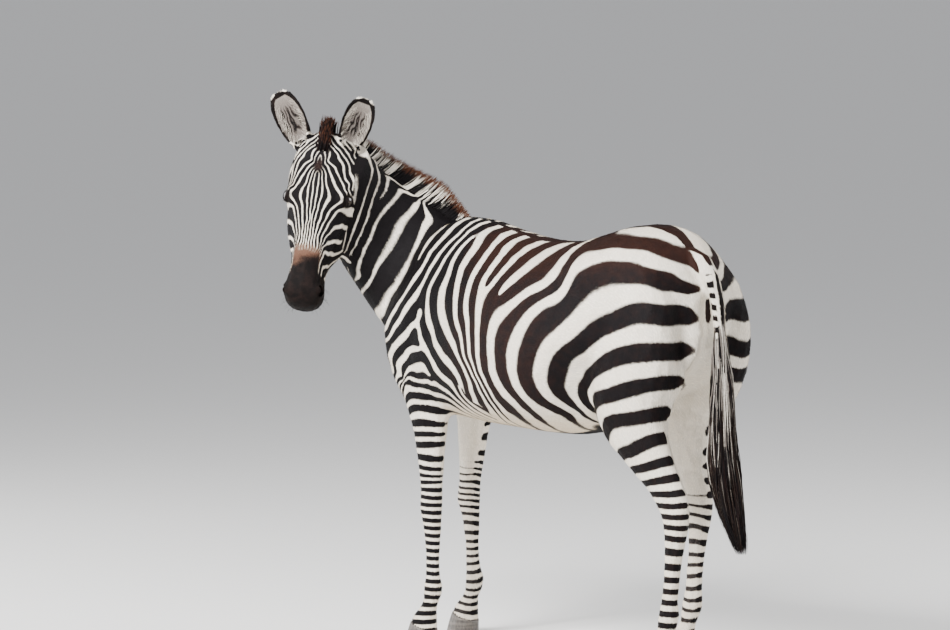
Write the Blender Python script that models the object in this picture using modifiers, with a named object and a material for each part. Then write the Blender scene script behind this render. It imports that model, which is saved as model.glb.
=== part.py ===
"""A plains zebra standing still, life size, looking back over its left shoulder.

Metres, +Z up. The body runs along X with the tail towards +X, and its left side faces -Y.
Soft forms are lofts of rounded sections. They are fused and smoothed into one hide, which
is then parted with thin cuts into head, neck, trunk, tail, legs and hooves. Ears, eyes and
the standing hair are pieces of their own, set against the hide with a small clearance.
"""

import math

import bmesh
import bpy
import numpy as np
from mathutils import Matrix, Vector, noise

# ---------------------------------------------------------------- driving sizes
GAP = 0.0005  # clearance between neighbouring pieces
CUT = 0.0008  # thickness of a parting cut
HIDE_VOXEL = 0.006  # grid on which the forms fuse
HIDE_TRIANGLES = 5500  # of the whole hide, before it is parted

HEAD_TURN = 10  # degrees that the face turns away from the viewing side
HEAD_TILT = 24  # degrees that the nose comes forward out of the upright
HEAD_LEAN = 9  # degrees that the nose swings aside
POLL = Vector((-0.718, -0.305, 1.499))  # top of the head between the ears
LOOKS_TO = 49  # degrees from -Y towards +X, the way the face is turned

EYE_RADIUS = 0.0195
EYE_PLACE = (0.186, 0.0830, -0.042)  # down the nose, sideways, out of the forehead
EAR_PLACE = (0.030, 0.056, -0.058)
EARS = {"left": (0.172, 0.27), "right": (0.194, 0.66)}  # length, lean outwards
EAR_THICK = 0.005

MANE_RISE = 0.092  # standing hair above the crest
MANE_HALF = 0.014
MANE_ROOT = 0.022  # how deep it starts below the crest

HOOF_RISE = 0.062  # height of the hoof wall at the front

FORE_STANCE = {"left": (-0.455, -0.120), "right": (-0.545, 0.120)}
HIND_STANCE = {"left": (0.565, -0.130), "right": (0.385, 0.130)}

UP = Vector((0, 0, 1))
FORWARD = Vector((-1, 0, 0))
SIDEWAYS = Vector((0, 1, 0))


# ---------------------------------------------------------------- lofting tools
def through(rows, steps):
    """More rows between the given ones, on a smooth curve through them."""
    rows = np.array(rows, float)
    padded = np.vstack([2 * rows[0] - rows[1], rows, 2 * rows[-1] - rows[-2]])
    made = []
    for i in range(1, len(padded) - 2):
        before, start, end, after = padded[i - 1 : i + 3]
        for k in range(steps):
            t = k / steps
            square = (2 * before - 5 * start + 4 * end - after) * t**2
            cube = (3 * start - before - 3 * end + after) * t**3
            made.append((2 * start + (end - before) * t + square + cube) / 2)
    made.append(rows[-1])
    return np.array(made)


def section(centre, side, top, half_width, half_height, square=2.0, taper=0.0, points=36):
    """A closed ring: an ellipse made boxier by square > 2 and wider on top by taper > 0."""
    ring = []
    for i in range(points):
        angle = 2 * math.pi * i / points
        across = math.cos(angle)
        along = math.sin(angle)
        high = math.copysign(abs(along) ** (2 / square), along)
        wide = math.copysign(abs(across) ** (2 / square), across) * (1 + taper * high)
        ring.append(centre + side * (half_width * wide) + top * (half_height * high))
    return ring


def loft(name, rings):
    """A closed body through rings that have the same number of points."""
    form = bmesh.new()
    loops = [[form.verts.new(point) for point in ring] for ring in rings]
    for first, second in zip(loops, loops[1:]):
        for i in range(len(first)):
            j = (i + 1) % len(first)
            form.faces.new((first[i], first[j], second[j], second[i]))
    form.faces.new(loops[0][::-1])
    form.faces.new(loops[-1])
    bmesh.ops.recalc_face_normals(form, faces=form.faces)
    return finish_mesh(name, form)


def finish_mesh(name, form):
    mesh = bpy.data.meshes.new(name)
    form.to_mesh(mesh)
    form.free()
    return place(name, mesh)


def place(name, mesh):
    body = bpy.data.objects.new(name, mesh)
    bpy.context.scene.collection.objects.link(body)
    return body


def drop(*bodies):
    for body in bodies:
        bpy.data.objects.remove(body)


def baked(body, name):
    """The body with its modifiers made real."""
    shape = body.evaluated_get(bpy.context.evaluated_depsgraph_get())
    mesh = bpy.data.meshes.new_from_object(shape)
    drop(body)
    return place(name, mesh)


def joined(name, bodies):
    form = bmesh.new()
    for body in bodies:
        form.from_mesh(body.data)
    drop(*bodies)
    return finish_mesh(name, form)


def course_frames(places, reference):
    """The side and top directions of sections square to a path."""
    frames = []
    for i in range(len(places)):
        ahead = places[min(i + 1, len(places) - 1)]
        behind = places[max(i - 1, 0)]
        course = (ahead - behind).normalized()
        top = (reference - course * reference.dot(course)).normalized()
        frames.append((top.cross(course), top))
    return frames


def along_path(name, rows, steps, reference, points=36):
    """A loft with sections square to a path. Rows: x, y, z, half width, half height,
    square, taper."""
    rows = through(rows, steps)
    places = [Vector(row[:3]) for row in rows]
    rings = []
    for row, spot, (side, top) in zip(rows, places, course_frames(places, reference)):
        rings.append(section(spot, side, top, *row[3:7], points=points))
    return loft(name, rings)


def ellipsoid(name, centre, radii, axes=None, parts=16):
    """A rounded lump with its own half sizes along three axes."""
    form = bmesh.new()
    bmesh.ops.create_uvsphere(form, u_segments=parts, v_segments=parts // 2, radius=1)
    turn = Matrix.Identity(3)
    if axes:
        turn = Matrix(axes).transposed()
    for vert in form.verts:
        vert.co = centre + turn @ Vector(a * b for a, b in zip(vert.co, radii))
    return finish_mesh(name, form)


# ---------------------------------------------------------------- trunk
TRUNK_ROWS = [  # x, top, bottom, half width, square, taper
    (-0.705, 1.000, 0.880, 0.055, 2.0, 0.00),
    (-0.680, 1.060, 0.820, 0.102, 2.0, 0.00),
    (-0.630, 1.120, 0.765, 0.142, 2.1, 0.00),
    (-0.560, 1.200, 0.715, 0.170, 2.2, -0.05),
    (-0.490, 1.240, 0.685, 0.188, 2.2, -0.16),
    (-0.420, 1.262, 0.672, 0.204, 2.2, -0.26),
    (-0.330, 1.258, 0.664, 0.224, 2.2, -0.24),
    (-0.220, 1.234, 0.658, 0.248, 2.2, -0.18),
    (-0.100, 1.216, 0.654, 0.270, 2.2, -0.13),
    (0.020, 1.212, 0.652, 0.284, 2.2, -0.10),
    (0.130, 1.222, 0.656, 0.287, 2.2, -0.08),
    (0.230, 1.246, 0.682, 0.280, 2.2, -0.06),
    (0.320, 1.270, 0.735, 0.262, 2.2, -0.04),
    (0.400, 1.278, 0.790, 0.242, 2.2, -0.06),
    (0.470, 1.262, 0.830, 0.216, 2.2, -0.08),
    (0.530, 1.222, 0.870, 0.178, 2.1, -0.08),
    (0.578, 1.160, 0.920, 0.125, 2.0, -0.05),
    (0.602, 1.100, 0.970, 0.066, 2.0, 0.00),
]


def trunk_form():
    rings = []
    for x, top, bottom, half_width, square, taper in through(TRUNK_ROWS, 4):
        centre = Vector((x, 0, (top + bottom) / 2))
        half_height = (top - bottom) / 2
        ring = section(centre, SIDEWAYS, UP, half_width, half_height, square, taper, 56)
        rings.append(ring)
    return loft("trunk_form", rings)


# ---------------------------------------------------------------- neck
NECK_ROWS = [  # centre x, y, z, half width, half depth, square, taper
    (-0.400, 0.000, 0.965, 0.165, 0.265, 2.1, -0.30),
    (-0.500, -0.006, 1.020, 0.142, 0.232, 2.1, -0.34),
    (-0.595, -0.026, 1.080, 0.118, 0.200, 2.1, -0.34),
    (-0.662, -0.066, 1.150, 0.100, 0.172, 2.1, -0.32),
    (-0.702, -0.118, 1.220, 0.088, 0.152, 2.1, -0.28),
    (-0.714, -0.172, 1.290, 0.081, 0.136, 2.1, -0.20),
    (-0.704, -0.222, 1.358, 0.076, 0.120, 2.1, -0.10),
    (-0.684, -0.262, 1.412, 0.070, 0.100, 2.1, 0.00),
]
NECK_STEPS = 6


def neck_form():
    return along_path("neck_form", NECK_ROWS, NECK_STEPS, UP, 44)


def crest():
    """Points along the top of the neck, with the directions sideways and upwards there."""
    rows = through(NECK_ROWS, NECK_STEPS)
    places = [Vector(row[:3]) for row in rows]
    line = []
    for row, spot, (side, top) in zip(rows, places, course_frames(places, UP)):
        line.append((spot + top * row[4], side, top))
    return line


# ---------------------------------------------------------------- head
def head_axes():
    """The head's own axes: down the nose, to its left, and out of the forehead."""
    looks = math.radians(LOOKS_TO)
    toward = Vector((math.sin(looks), -math.cos(looks), 0))
    aside = Vector((math.cos(looks), math.sin(looks), 0))
    tilt = math.radians(HEAD_TILT)
    lean = math.radians(HEAD_LEAN)
    level = math.cos(tilt)
    nose = toward * math.sin(tilt) - UP * (level * math.cos(lean)) - aside * (level * math.sin(lean))
    brow = (toward - nose * toward.dot(nose)).normalized()
    brow.rotate(Matrix.Rotation(math.radians(HEAD_TURN), 3, nose))
    return nose, brow.cross(nose).normalized(), brow


def head_point(down, left, out):
    nose, side, brow = head_axes()
    return POLL + nose * down + side * left + brow * out


HEAD_ROWS = [  # down the nose, top, bottom, half widths: brow, eye, cheek, jaw
    (-0.030, -0.040, -0.110, 0.020, 0.040, 0.040, 0.022),
    (-0.012, -0.014, -0.150, 0.038, 0.064, 0.064, 0.036),
    (0.025, 0.000, -0.182, 0.054, 0.086, 0.080, 0.046),
    (0.068, 0.009, -0.208, 0.064, 0.098, 0.086, 0.052),
    (0.118, 0.012, -0.228, 0.069, 0.103, 0.090, 0.056),
    (0.166, 0.010, -0.238, 0.066, 0.099, 0.092, 0.058),
    (0.214, 0.006, -0.242, 0.056, 0.091, 0.095, 0.063),
    (0.262, 0.003, -0.236, 0.047, 0.083, 0.093, 0.065),
    (0.310, 0.001, -0.214, 0.040, 0.069, 0.080, 0.058),
    (0.356, -0.001, -0.180, 0.036, 0.056, 0.060, 0.043),
    (0.400, -0.002, -0.154, 0.035, 0.051, 0.051, 0.035),
    (0.439, -0.004, -0.144, 0.038, 0.055, 0.054, 0.036),
    (0.474, -0.010, -0.140, 0.040, 0.060, 0.058, 0.037),
    (0.499, -0.022, -0.132, 0.036, 0.055, 0.054, 0.033),
    (0.516, -0.040, -0.117, 0.025, 0.040, 0.040, 0.024),
    (0.524, -0.060, -0.100, 0.012, 0.020, 0.020, 0.012),
]
HEAD_LEVELS = (0.0, 0.07, 0.30, 0.66, 0.94, 1.0)  # where those widths lie, top to bottom


def head_form():
    nose, side, brow = head_axes()
    rings = []
    for down, top, bottom, *widths in through(HEAD_ROWS, 5):
        marks = [(0.0, HEAD_LEVELS[0])]
        marks += list(zip(widths, HEAD_LEVELS[1:5]))
        marks += [(0.0, HEAD_LEVELS[5])]
        half = through(marks, 4)
        ring = []
        for width, level in half:
            ring.append(head_point(down, width, top + (bottom - top) * level))
        for width, level in half[-2:0:-1]:
            ring.append(head_point(down, -width, top + (bottom - top) * level))
        rings.append(ring)
    return loft("head_form", rings)


def head_lumps():
    """Orbits, cheek muscles, nostrils, ear roots and chin, as rounded lumps on the head."""
    axes = head_axes()
    lumps = []
    for hand in (1, -1):
        down, left, out = EYE_PLACE
        orbit = head_point(down - 0.009, (left - 0.013) * hand, out + 0.006)
        lumps.append(ellipsoid("orbit", orbit, (0.039, 0.026, 0.029), axes))
        cheek = head_point(0.215, 0.060 * hand, -0.145)
        lumps.append(ellipsoid("cheek_form", cheek, (0.088, 0.035, 0.080), axes))
        nostril = head_point(0.474, 0.038 * hand, -0.042)
        lumps.append(ellipsoid("nostril_form", nostril, (0.032, 0.022, 0.026), axes))
        ear_root = head_point(0.022, 0.058 * hand, -0.060)
        lumps.append(ellipsoid("ear_root", ear_root, (0.036, 0.030, 0.034), axes))
    lumps.append(ellipsoid("chin", head_point(0.462, 0, -0.124), (0.034, 0.030, 0.026), axes))
    return lumps


# ---------------------------------------------------------------- legs
FORE_ROWS = [  # x, y outwards, z, half width, half depth
    (-0.430, 0.095, 1.150, 0.045, 0.075),
    (-0.470, 0.115, 1.050, 0.062, 0.108),
    (-0.502, 0.128, 0.950, 0.068, 0.124),
    (-0.502, 0.134, 0.865, 0.066, 0.118),
    (-0.468, 0.134, 0.780, 0.060, 0.104),
    (-0.456, 0.130, 0.700, 0.052, 0.080),
    (-0.452, 0.127, 0.620, 0.044, 0.060),
    (-0.452, 0.124, 0.535, 0.036, 0.045),
    (-0.454, 0.121, 0.460, 0.031, 0.037),
    (-0.456, 0.120, 0.405, 0.034, 0.037),
    (-0.452, 0.120, 0.352, 0.027, 0.030),
    (-0.450, 0.120, 0.275, 0.020, 0.026),
    (-0.450, 0.120, 0.205, 0.021, 0.026),
    (-0.448, 0.120, 0.165, 0.027, 0.032),
    (-0.462, 0.120, 0.118, 0.023, 0.025),
    (-0.478, 0.120, 0.080, 0.032, 0.035),
    (-0.488, 0.120, 0.058, 0.037, 0.043),
    (-0.508, 0.120, -0.030, 0.047, 0.058),
]
FORE_LEAN = (0, 0, 0.1, 0.4, 0.8, 1.0, 1.1, 1.15, 1.18, 1.2, 1.15, 1.1, 1.05, 1, 1, 1, 1, 1)

HIND_ROWS = [  # x, y outwards, z, half width, half depth
    (0.400, 0.105, 1.160, 0.070, 0.115),
    (0.420, 0.130, 1.060, 0.088, 0.165),
    (0.428, 0.141, 0.960, 0.095, 0.178),
    (0.425, 0.146, 0.860, 0.092, 0.168),
    (0.428, 0.146, 0.770, 0.080, 0.138),
    (0.452, 0.142, 0.690, 0.066, 0.102),
    (0.488, 0.137, 0.620, 0.051, 0.077),
    (0.526, 0.133, 0.560, 0.039, 0.060),
    (0.556, 0.131, 0.505, 0.035, 0.055),
    (0.567, 0.130, 0.450, 0.033, 0.044),
    (0.562, 0.130, 0.390, 0.027, 0.034),
    (0.552, 0.130, 0.310, 0.023, 0.028),
    (0.543, 0.130, 0.230, 0.023, 0.028),
    (0.538, 0.130, 0.180, 0.028, 0.034),
    (0.520, 0.130, 0.128, 0.024, 0.026),
    (0.502, 0.130, 0.085, 0.031, 0.034),
    (0.492, 0.130, 0.060, 0.036, 0.042),
    (0.474, 0.130, -0.030, 0.045, 0.056),
]
HIND_LEAN = (0, 0, 0, 0.15, 0.35, 0.55, 0.75, 0.9, 1, 1, 1, 1, 1, 1, 1, 1, 1, 1)


def leg_form(name, rows, leans, plain_x, stance):
    """One leg, leaning forwards or back from its plain stance to where the hoof stands."""
    hoof_x, hoof_y = stance
    hand = math.copysign(1, hoof_y)
    placed = []
    for (x, y, z, half_width, half_depth), lean in zip(rows, leans):
        spot = (x + (hoof_x - plain_x) * lean, hand * y, z)
        placed.append((*spot, half_width, half_depth, 2.1, 0.0))
    return along_path(name, placed, 5, FORWARD, 34)


# ---------------------------------------------------------------- tail
DOCK_ROWS = [  # x, y, z, half width, half depth, square, taper
    (0.530, 0.000, 1.185, 0.034, 0.038, 2.0, 0.0),
    (0.576, 0.000, 1.172, 0.033, 0.035, 2.0, 0.0),
    (0.616, 0.000, 1.130, 0.028, 0.029, 2.0, 0.0),
    (0.640, 0.000, 1.065, 0.023, 0.024, 2.0, 0.0),
    (0.650, 0.000, 0.990, 0.020, 0.021, 2.0, 0.0),
    (0.655, 0.001, 0.920, 0.017, 0.018, 2.0, 0.0),
    (0.657, 0.002, 0.860, 0.013, 0.014, 2.0, 0.0),
    (0.657, 0.003, 0.825, 0.006, 0.006, 2.0, 0.0),
]
TAIL_HAIR_ROWS = [
    (0.652, 0.000, 0.965, 0.023, 0.024, 2.0, 0.0),
    (0.656, 0.001, 0.920, 0.025, 0.027, 2.0, 0.0),
    (0.657, 0.003, 0.850, 0.028, 0.031, 2.0, 0.0),
    (0.654, 0.007, 0.750, 0.033, 0.038, 2.0, 0.0),
    (0.651, 0.012, 0.650, 0.038, 0.047, 2.0, 0.0),
    (0.656, 0.018, 0.560, 0.038, 0.052, 2.0, 0.0),
    (0.678, 0.022, 0.470, 0.028, 0.040, 2.0, 0.0),
    (0.702, 0.024, 0.400, 0.016, 0.022, 2.0, 0.0),
    (0.715, 0.025, 0.358, 0.005, 0.007, 2.0, 0.0),
]


# ---------------------------------------------------------------- hide
def hide_forms():
    forms = [trunk_form(), neck_form(), head_form()]
    forms += head_lumps()
    for side in ("left", "right"):
        forms.append(leg_form("fore_form", FORE_ROWS, FORE_LEAN, -0.455, FORE_STANCE[side]))
        forms.append(leg_form("hind_form", HIND_ROWS, HIND_LEAN, 0.520, HIND_STANCE[side]))
    return forms


def near(point, centre, radius):
    """1 at the centre falling softly to 0 at the radius."""
    away = (point - centre).length / radius
    if away >= 1:
        return 0.0
    return (1 - away * away) ** 2


def swell(mesh, centre, radius, push):
    """Push the hide near a point by a vector, fading out at the radius."""
    for vert in mesh.vertices:
        share = near(vert.co, centre, radius)
        if share > 0:
            vert.co += push * share


def fleshed(mesh):
    """Muscle and bone forms that show through the hide."""
    for hand in (1, -1):
        out = Vector((0, hand, 0))
        swell(mesh, Vector((0.300, 0.225 * hand, 1.170)), 0.10, out * 0.010)
        swell(mesh, Vector((0.215, 0.275 * hand, 1.060)), 0.13, out * -0.014)
        swell(mesh, Vector((0.300, 0.240 * hand, 0.820)), 0.14, out * -0.022)
        swell(mesh, Vector((0.375, 0.235 * hand, 0.780)), 0.09, out * 0.012)
        swell(mesh, Vector((-0.330, 0.215 * hand, 0.960)), 0.14, out * -0.010)
        swell(mesh, Vector((-0.560, 0.175 * hand, 0.930)), 0.12, out * 0.008)
        swell(mesh, Vector((0.520, 0.120 * hand, 1.130)), 0.10, out * 0.008)
    swell(mesh, Vector((-0.700, 0, 0.960)), 0.10, Vector((0.012, 0, 0)))


def keep_weights(body):
    """Where the smoothing acts fully, and where the faceting must keep the form."""
    soft = body.vertex_groups.new(name="soft")
    plain = body.vertex_groups.new(name="plain")
    for vert in body.data.vertices:
        on_head = near(vert.co, head_point(0.27, 0, -0.09), 0.36)
        low = max(0.0, min(1.0, (0.62 - vert.co.z) / 0.15))
        firm = max(low, min(1.0, on_head * 2.5))
        soft.add([vert.index], 1.0 - 0.75 * firm, "REPLACE")
        muzzle = near(vert.co, head_point(0.47, 0, -0.08), 0.13)
        keep = min(1.0, 1.5 * on_head + 0.7 * muzzle + 0.4 * low)
        plain.add([vert.index], 1.0 - 0.9 * keep, "REPLACE")


def hide():
    """All the soft forms as one smooth faceted skin, standing flat on the floor."""
    body = joined("hide", hide_forms())
    fuse = body.modifiers.new("fuse", "REMESH")
    fuse.mode = "VOXEL"
    fuse.voxel_size = HIDE_VOXEL
    body = baked(body, "hide")
    fleshed(body.data)
    keep_weights(body)
    ease = body.modifiers.new("ease", "SMOOTH")
    ease.factor = 0.5
    ease.iterations = 26
    ease.vertex_group = "soft"
    settle = body.modifiers.new("settle", "SMOOTH")
    settle.factor = 0.5
    settle.iterations = 4
    facet = body.modifiers.new("facet", "DECIMATE")
    facet.ratio = HIDE_TRIANGLES / (2 * len(body.data.polygons))
    facet.vertex_group = "plain"
    facet.vertex_group_factor = 0.05
    body = baked(body, "hide")
    return body


# ---------------------------------------------------------------- standing hair
def hair_fin(name, line, rises, half, root):
    """An upright blade of hair along a line of (point, side, top), tapering to its edge."""
    rings = []
    for (spot, side, top), rise in zip(line, rises):
        ring = []
        for level, share in HAIR_PROFILE:
            ring.append(spot + top * (level * (rise + root) - root) + side * (half * share))
        for level, share in HAIR_PROFILE[::-1]:
            ring.append(spot + top * (level * (rise + root) - root) - side * (half * share))
        rings.append(ring)
    return loft(name, rings)


HAIR_PROFILE = [(0.0, 1.0), (0.35, 0.95), (0.7, 0.62), (1.0, 0.22)]  # height, thickness


def mane_form():
    line = crest()[6::2]
    rises = []
    for i in range(len(line)):
        along = i / (len(line) - 1)
        rise = MANE_RISE * min(1.0, 0.1 + 2.0 * along) * (1.0 - 0.35 * along**3)
        rises.append(rise + 0.006 * noise.noise(Vector((i * 0.9, 3.1, 0))))
    return hair_fin("mane", line, rises, MANE_HALF, MANE_ROOT)


FORELOCK_ROWS = [  # down the nose, out of the forehead, rise
    (-0.024, -0.070, 0.046),
    (-0.016, -0.040, 0.056),
    (0.000, -0.014, 0.056),
    (0.022, 0.000, 0.044),
    (0.046, 0.006, 0.026),
    (0.068, 0.009, 0.010),
]


def forelock_form():
    nose, side, brow = head_axes()
    rows = through(FORELOCK_ROWS, 2)
    line = []
    rises = []
    for down, out, rise in rows:
        top = (brow * 0.30 - nose).normalized()
        line.append((head_point(down, 0, out), side, top))
        rises.append(rise + 0.004 * noise.noise(Vector((down * 90, 0.7, 0))))
    return hair_fin("forelock", line, rises, MANE_HALF * 1.5, 0.016)


# ---------------------------------------------------------------- ears
EAR_ROWS = [  # along the ear, half width, depth of the cup, half angle of its wall
    (-0.10, 0.020, 0.022, 165),
    (0.06, 0.027, 0.027, 155),
    (0.20, 0.034, 0.029, 132),
    (0.36, 0.040, 0.027, 108),
    (0.54, 0.043, 0.022, 92),
    (0.72, 0.038, 0.016, 84),
    (0.86, 0.027, 0.010, 78),
    (0.95, 0.015, 0.006, 72),
    (1.00, 0.006, 0.003, 70),
]
EAR_WALL = 8  # facets around the cup


def ear_form(name, hand, length, splay):
    """A leaf-shaped cup, nearly closed at its root and open towards the viewer."""
    nose, side, brow = head_axes()
    axis = (brow * 0.34 - nose * 0.92 + side * (splay * hand)).normalized()
    face = brow + side * (0.30 * hand)
    face = (face - axis * face.dot(axis)).normalized()
    across = axis.cross(face)
    down, left, out = EAR_PLACE
    root = head_point(down, left * hand, out)
    form = bmesh.new()
    loops = []
    for along, half_width, cup, angle in EAR_ROWS:
        loop = []
        for i in range(EAR_WALL + 1):
            turn = math.radians(angle) * (2 * i / EAR_WALL - 1)
            spot = root + axis * (along * length)
            spot = spot + across * (half_width * math.sin(turn))
            spot = spot + face * (cup * (0.55 - math.cos(turn)))
            loop.append(form.verts.new(spot))
        loops.append(loop)
    for first, second in zip(loops, loops[1:]):
        for i in range(EAR_WALL):
            form.faces.new((first[i], first[i + 1], second[i + 1], second[i]))
    leaf = finish_mesh(name, form)
    wall = leaf.modifiers.new("wall", "SOLIDIFY")
    wall.thickness = EAR_THICK
    wall.offset = 0
    return baked(leaf, name)


# ---------------------------------------------------------------- parting
def slab(centre, normal, across, half_across, half_along, thick=CUT):
    """A thin plate square to the normal, to part the hide with."""
    normal = normal.normalized()
    across = (across - normal * across.dot(normal)).normalized()
    along = normal.cross(across)
    form = bmesh.new()
    bmesh.ops.create_cube(form, size=2)
    for vert in form.verts:
        a, b, c = vert.co
        vert.co = centre + across * (a * half_across) + along * (b * half_along)
        vert.co += normal * (c * thick / 2)
    if form.calc_volume(signed=True) < 0:
        bmesh.ops.reverse_faces(form, faces=form.faces)
    return finish_mesh("slab", form)


def head_slab():
    behind_poll = Vector((-0.716, -0.100, 1.460))
    throat = Vector((-0.716, -0.240, 1.120))
    across = Vector((0.92, -0.38, 0))
    line = throat - behind_poll
    return slab((behind_poll + throat) / 2, line.cross(across), across, 0.175, 0.260)


def neck_slab():
    withers = Vector((-0.455, -0.02, 1.310))
    breast = Vector((-0.745, -0.02, 0.930))
    line = breast - withers
    return slab((withers + breast) / 2, line.cross(SIDEWAYS), SIDEWAYS, 0.230, 0.270)


def coronet_slab(stance, toe_out):
    x, y = stance
    centre = Vector((x + toe_out, y, HOOF_RISE - 0.010))
    return slab(centre, Vector((0.34, 0, 1)), SIDEWAYS, 0.060, 0.075)


def parting_slabs():
    slabs = [head_slab(), neck_slab()]
    slabs.append(slab(Vector((-0.480, 0, 0.636)), UP, SIDEWAYS, 0.260, 0.150))
    slabs.append(slab(Vector((0.435, 0, 0.690)), Vector((-0.14, 0, 1)), SIDEWAYS, 0.260, 0.190))
    for side in ("left", "right"):
        slabs.append(coronet_slab(FORE_STANCE[side], -0.034))
        slabs.append(coronet_slab(HIND_STANCE[side], -0.030))
    return slabs


def cut_away(body, cutter, name):
    """The body less the cutter."""
    change = body.modifiers.new("cut", "BOOLEAN")
    change.operation = "DIFFERENCE"
    change.solver = "EXACT"
    change.object = cutter
    return baked(body, name)


def loose_parts(body):
    """Separate objects for the unconnected pieces of a body, largest first."""
    form = bmesh.new()
    form.from_mesh(body.data)
    unseen = set(form.verts)
    groups = []
    while unseen:
        group = set()
        front = [unseen.pop()]
        while front:
            vert = front.pop()
            group.add(vert)
            for edge in vert.link_edges:
                other = edge.other_vert(vert)
                if other in unseen:
                    unseen.remove(other)
                    front.append(other)
        groups.append(group)
    parts = []
    for group in groups:
        copy = form.copy()
        keep = {vert.index for vert in group}
        copy.verts.ensure_lookup_table()
        gone = [vert for vert in copy.verts if vert.index not in keep]
        bmesh.ops.delete(copy, geom=gone, context="VERTS")
        parts.append((abs(copy.calc_volume()), finish_mesh("part", copy)))
    form.free()
    drop(body)
    parts.sort(key=lambda pair: -pair[0])
    return [part for volume, part in parts]


def middle(body):
    total = sum((vert.co for vert in body.data.vertices), Vector())
    return total / len(body.data.vertices)


def named_hide_parts(parts):
    """Names by where each piece lies: feet lowest, then legs, and the head by its place."""
    named = {}
    for part in parts:
        spot = middle(part)
        side = "left" if spot.y < 0 else "right"
        end = "front" if spot.x < 0 else "hind"
        high = max(vert.co.z for vert in part.data.vertices)
        if high < 0.12:
            name = f"hoof_{end}_{side}"
        elif high < 0.75:
            name = f"leg_{end}_{side}"
        elif part is parts[0]:
            name = "trunk"
        elif (spot - head_point(0.25, 0, -0.09)).length < 0.15:
            name = "head"
        else:
            name = "neck"
        named[name] = part
    return named


def swollen(body, amount):
    """A copy of the body grown outwards, so that what it cuts clears the body."""
    copy = place("swollen", body.data.copy())
    grow = copy.modifiers.new("grow", "DISPLACE")
    grow.strength = amount
    grow.mid_level = 0
    return baked(copy, "swollen")


COLOURS = {  # base colour and roughness by the kind of piece
    "hide": ((0.72, 0.66, 0.58), 0.80),
    "hair": ((0.10, 0.05, 0.035), 0.85),
    "ear": ((0.42, 0.38, 0.35), 0.85),
    "eye": ((0.02, 0.012, 0.010), 0.12),
    "hoof": ((0.055, 0.050, 0.048), 0.55),
}


def kind_of(name):
    for kind in ("hoof", "eye", "ear"):
        if name.startswith(kind):
            return kind
    if name in ("mane", "forelock", "tail_hair"):
        return "hair"
    return "hide"


def finished(name, body, collection):
    """Name, material, shading and collection of one piece."""
    body.name = name
    body.data.name = name
    colour, roughness = COLOURS[kind_of(name)]
    material = bpy.data.materials.new(name)
    material.use_nodes = True
    shader = material.node_tree.nodes["Principled BSDF"]
    shader.inputs["Base Color"].default_value = (*colour, 1)
    shader.inputs["Roughness"].default_value = roughness
    body.data.materials.clear()
    body.data.materials.append(material)
    body.data.shade_smooth()
    body.data.set_sharp_from_angle(angle=math.radians(50))
    for holder in list(body.users_collection):
        holder.objects.unlink(body)
    collection.objects.link(body)


def centred(bodies):
    """Shift everything so that the box around it stands centred on the origin."""
    spots = [vert.co for body in bodies for vert in body.data.vertices]
    lows = [min(spot[axis] for spot in spots) for axis in range(3)]
    highs = [max(spot[axis] for spot in spots) for axis in range(3)]
    shift = Vector((-(lows[0] + highs[0]) / 2, -(lows[1] + highs[1]) / 2, -lows[2]))
    for body in bodies:
        body.data.transform(Matrix.Translation(shift))


def main():
    for body in list(bpy.data.objects):
        bpy.data.objects.remove(body)
    collection = bpy.data.collections.new("zebra")
    bpy.context.scene.collection.children.link(collection)

    whole = hide()
    below = slab(Vector((0, 0, -0.25)), UP, SIDEWAYS, 1, 1, 0.5)
    whole = cut_away(whole, below, "hide")
    drop(below)
    clear = swollen(whole, GAP)

    pieces = {}
    dock = along_path("dock", DOCK_ROWS, 1, FORWARD, 12)
    pieces["tail_dock"] = cut_away(dock, clear, "tail_dock")
    dock_clear = swollen(pieces["tail_dock"], GAP)
    hair = along_path("tail_hair", TAIL_HAIR_ROWS, 1, FORWARD, 14)
    pieces["tail_hair"] = cut_away(hair, dock_clear, "tail_hair")
    drop(dock_clear)
    pieces["forelock"] = cut_away(forelock_form(), clear, "forelock")
    forelock_clear = swollen(pieces["forelock"], GAP)
    mane = cut_away(mane_form(), clear, "mane")
    pieces["mane"] = cut_away(mane, forelock_clear, "mane")
    drop(forelock_clear)
    for side, hand in (("left", 1), ("right", -1)):
        ear = ear_form(f"ear_{side}", hand, *EARS[side])
        pieces[f"ear_{side}"] = cut_away(ear, clear, f"ear_{side}")
    drop(clear)

    for side, hand in (("left", 1), ("right", -1)):
        down, left, out = EYE_PLACE
        spot = head_point(down, left * hand, out)
        sizes = (EYE_RADIUS,) * 3
        pieces[f"eye_{side}"] = ellipsoid(f"eye_{side}", spot, sizes, head_axes(), 12)
        socket = ellipsoid("socket", spot, [size + GAP for size in sizes], head_axes(), 12)
        whole = cut_away(whole, socket, "hide")
        drop(socket)
    for plate in parting_slabs():
        whole = cut_away(whole, plate, "hide")
        drop(plate)
    pieces.update(named_hide_parts(loose_parts(whole)))

    centred(pieces.values())
    for name, body in pieces.items():
        finished(name, body, collection)


main()
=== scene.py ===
import math

import bmesh
import bpy
import numpy as np
from mathutils import Matrix, Vector
from mathutils.bvhtree import BVHTree


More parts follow.
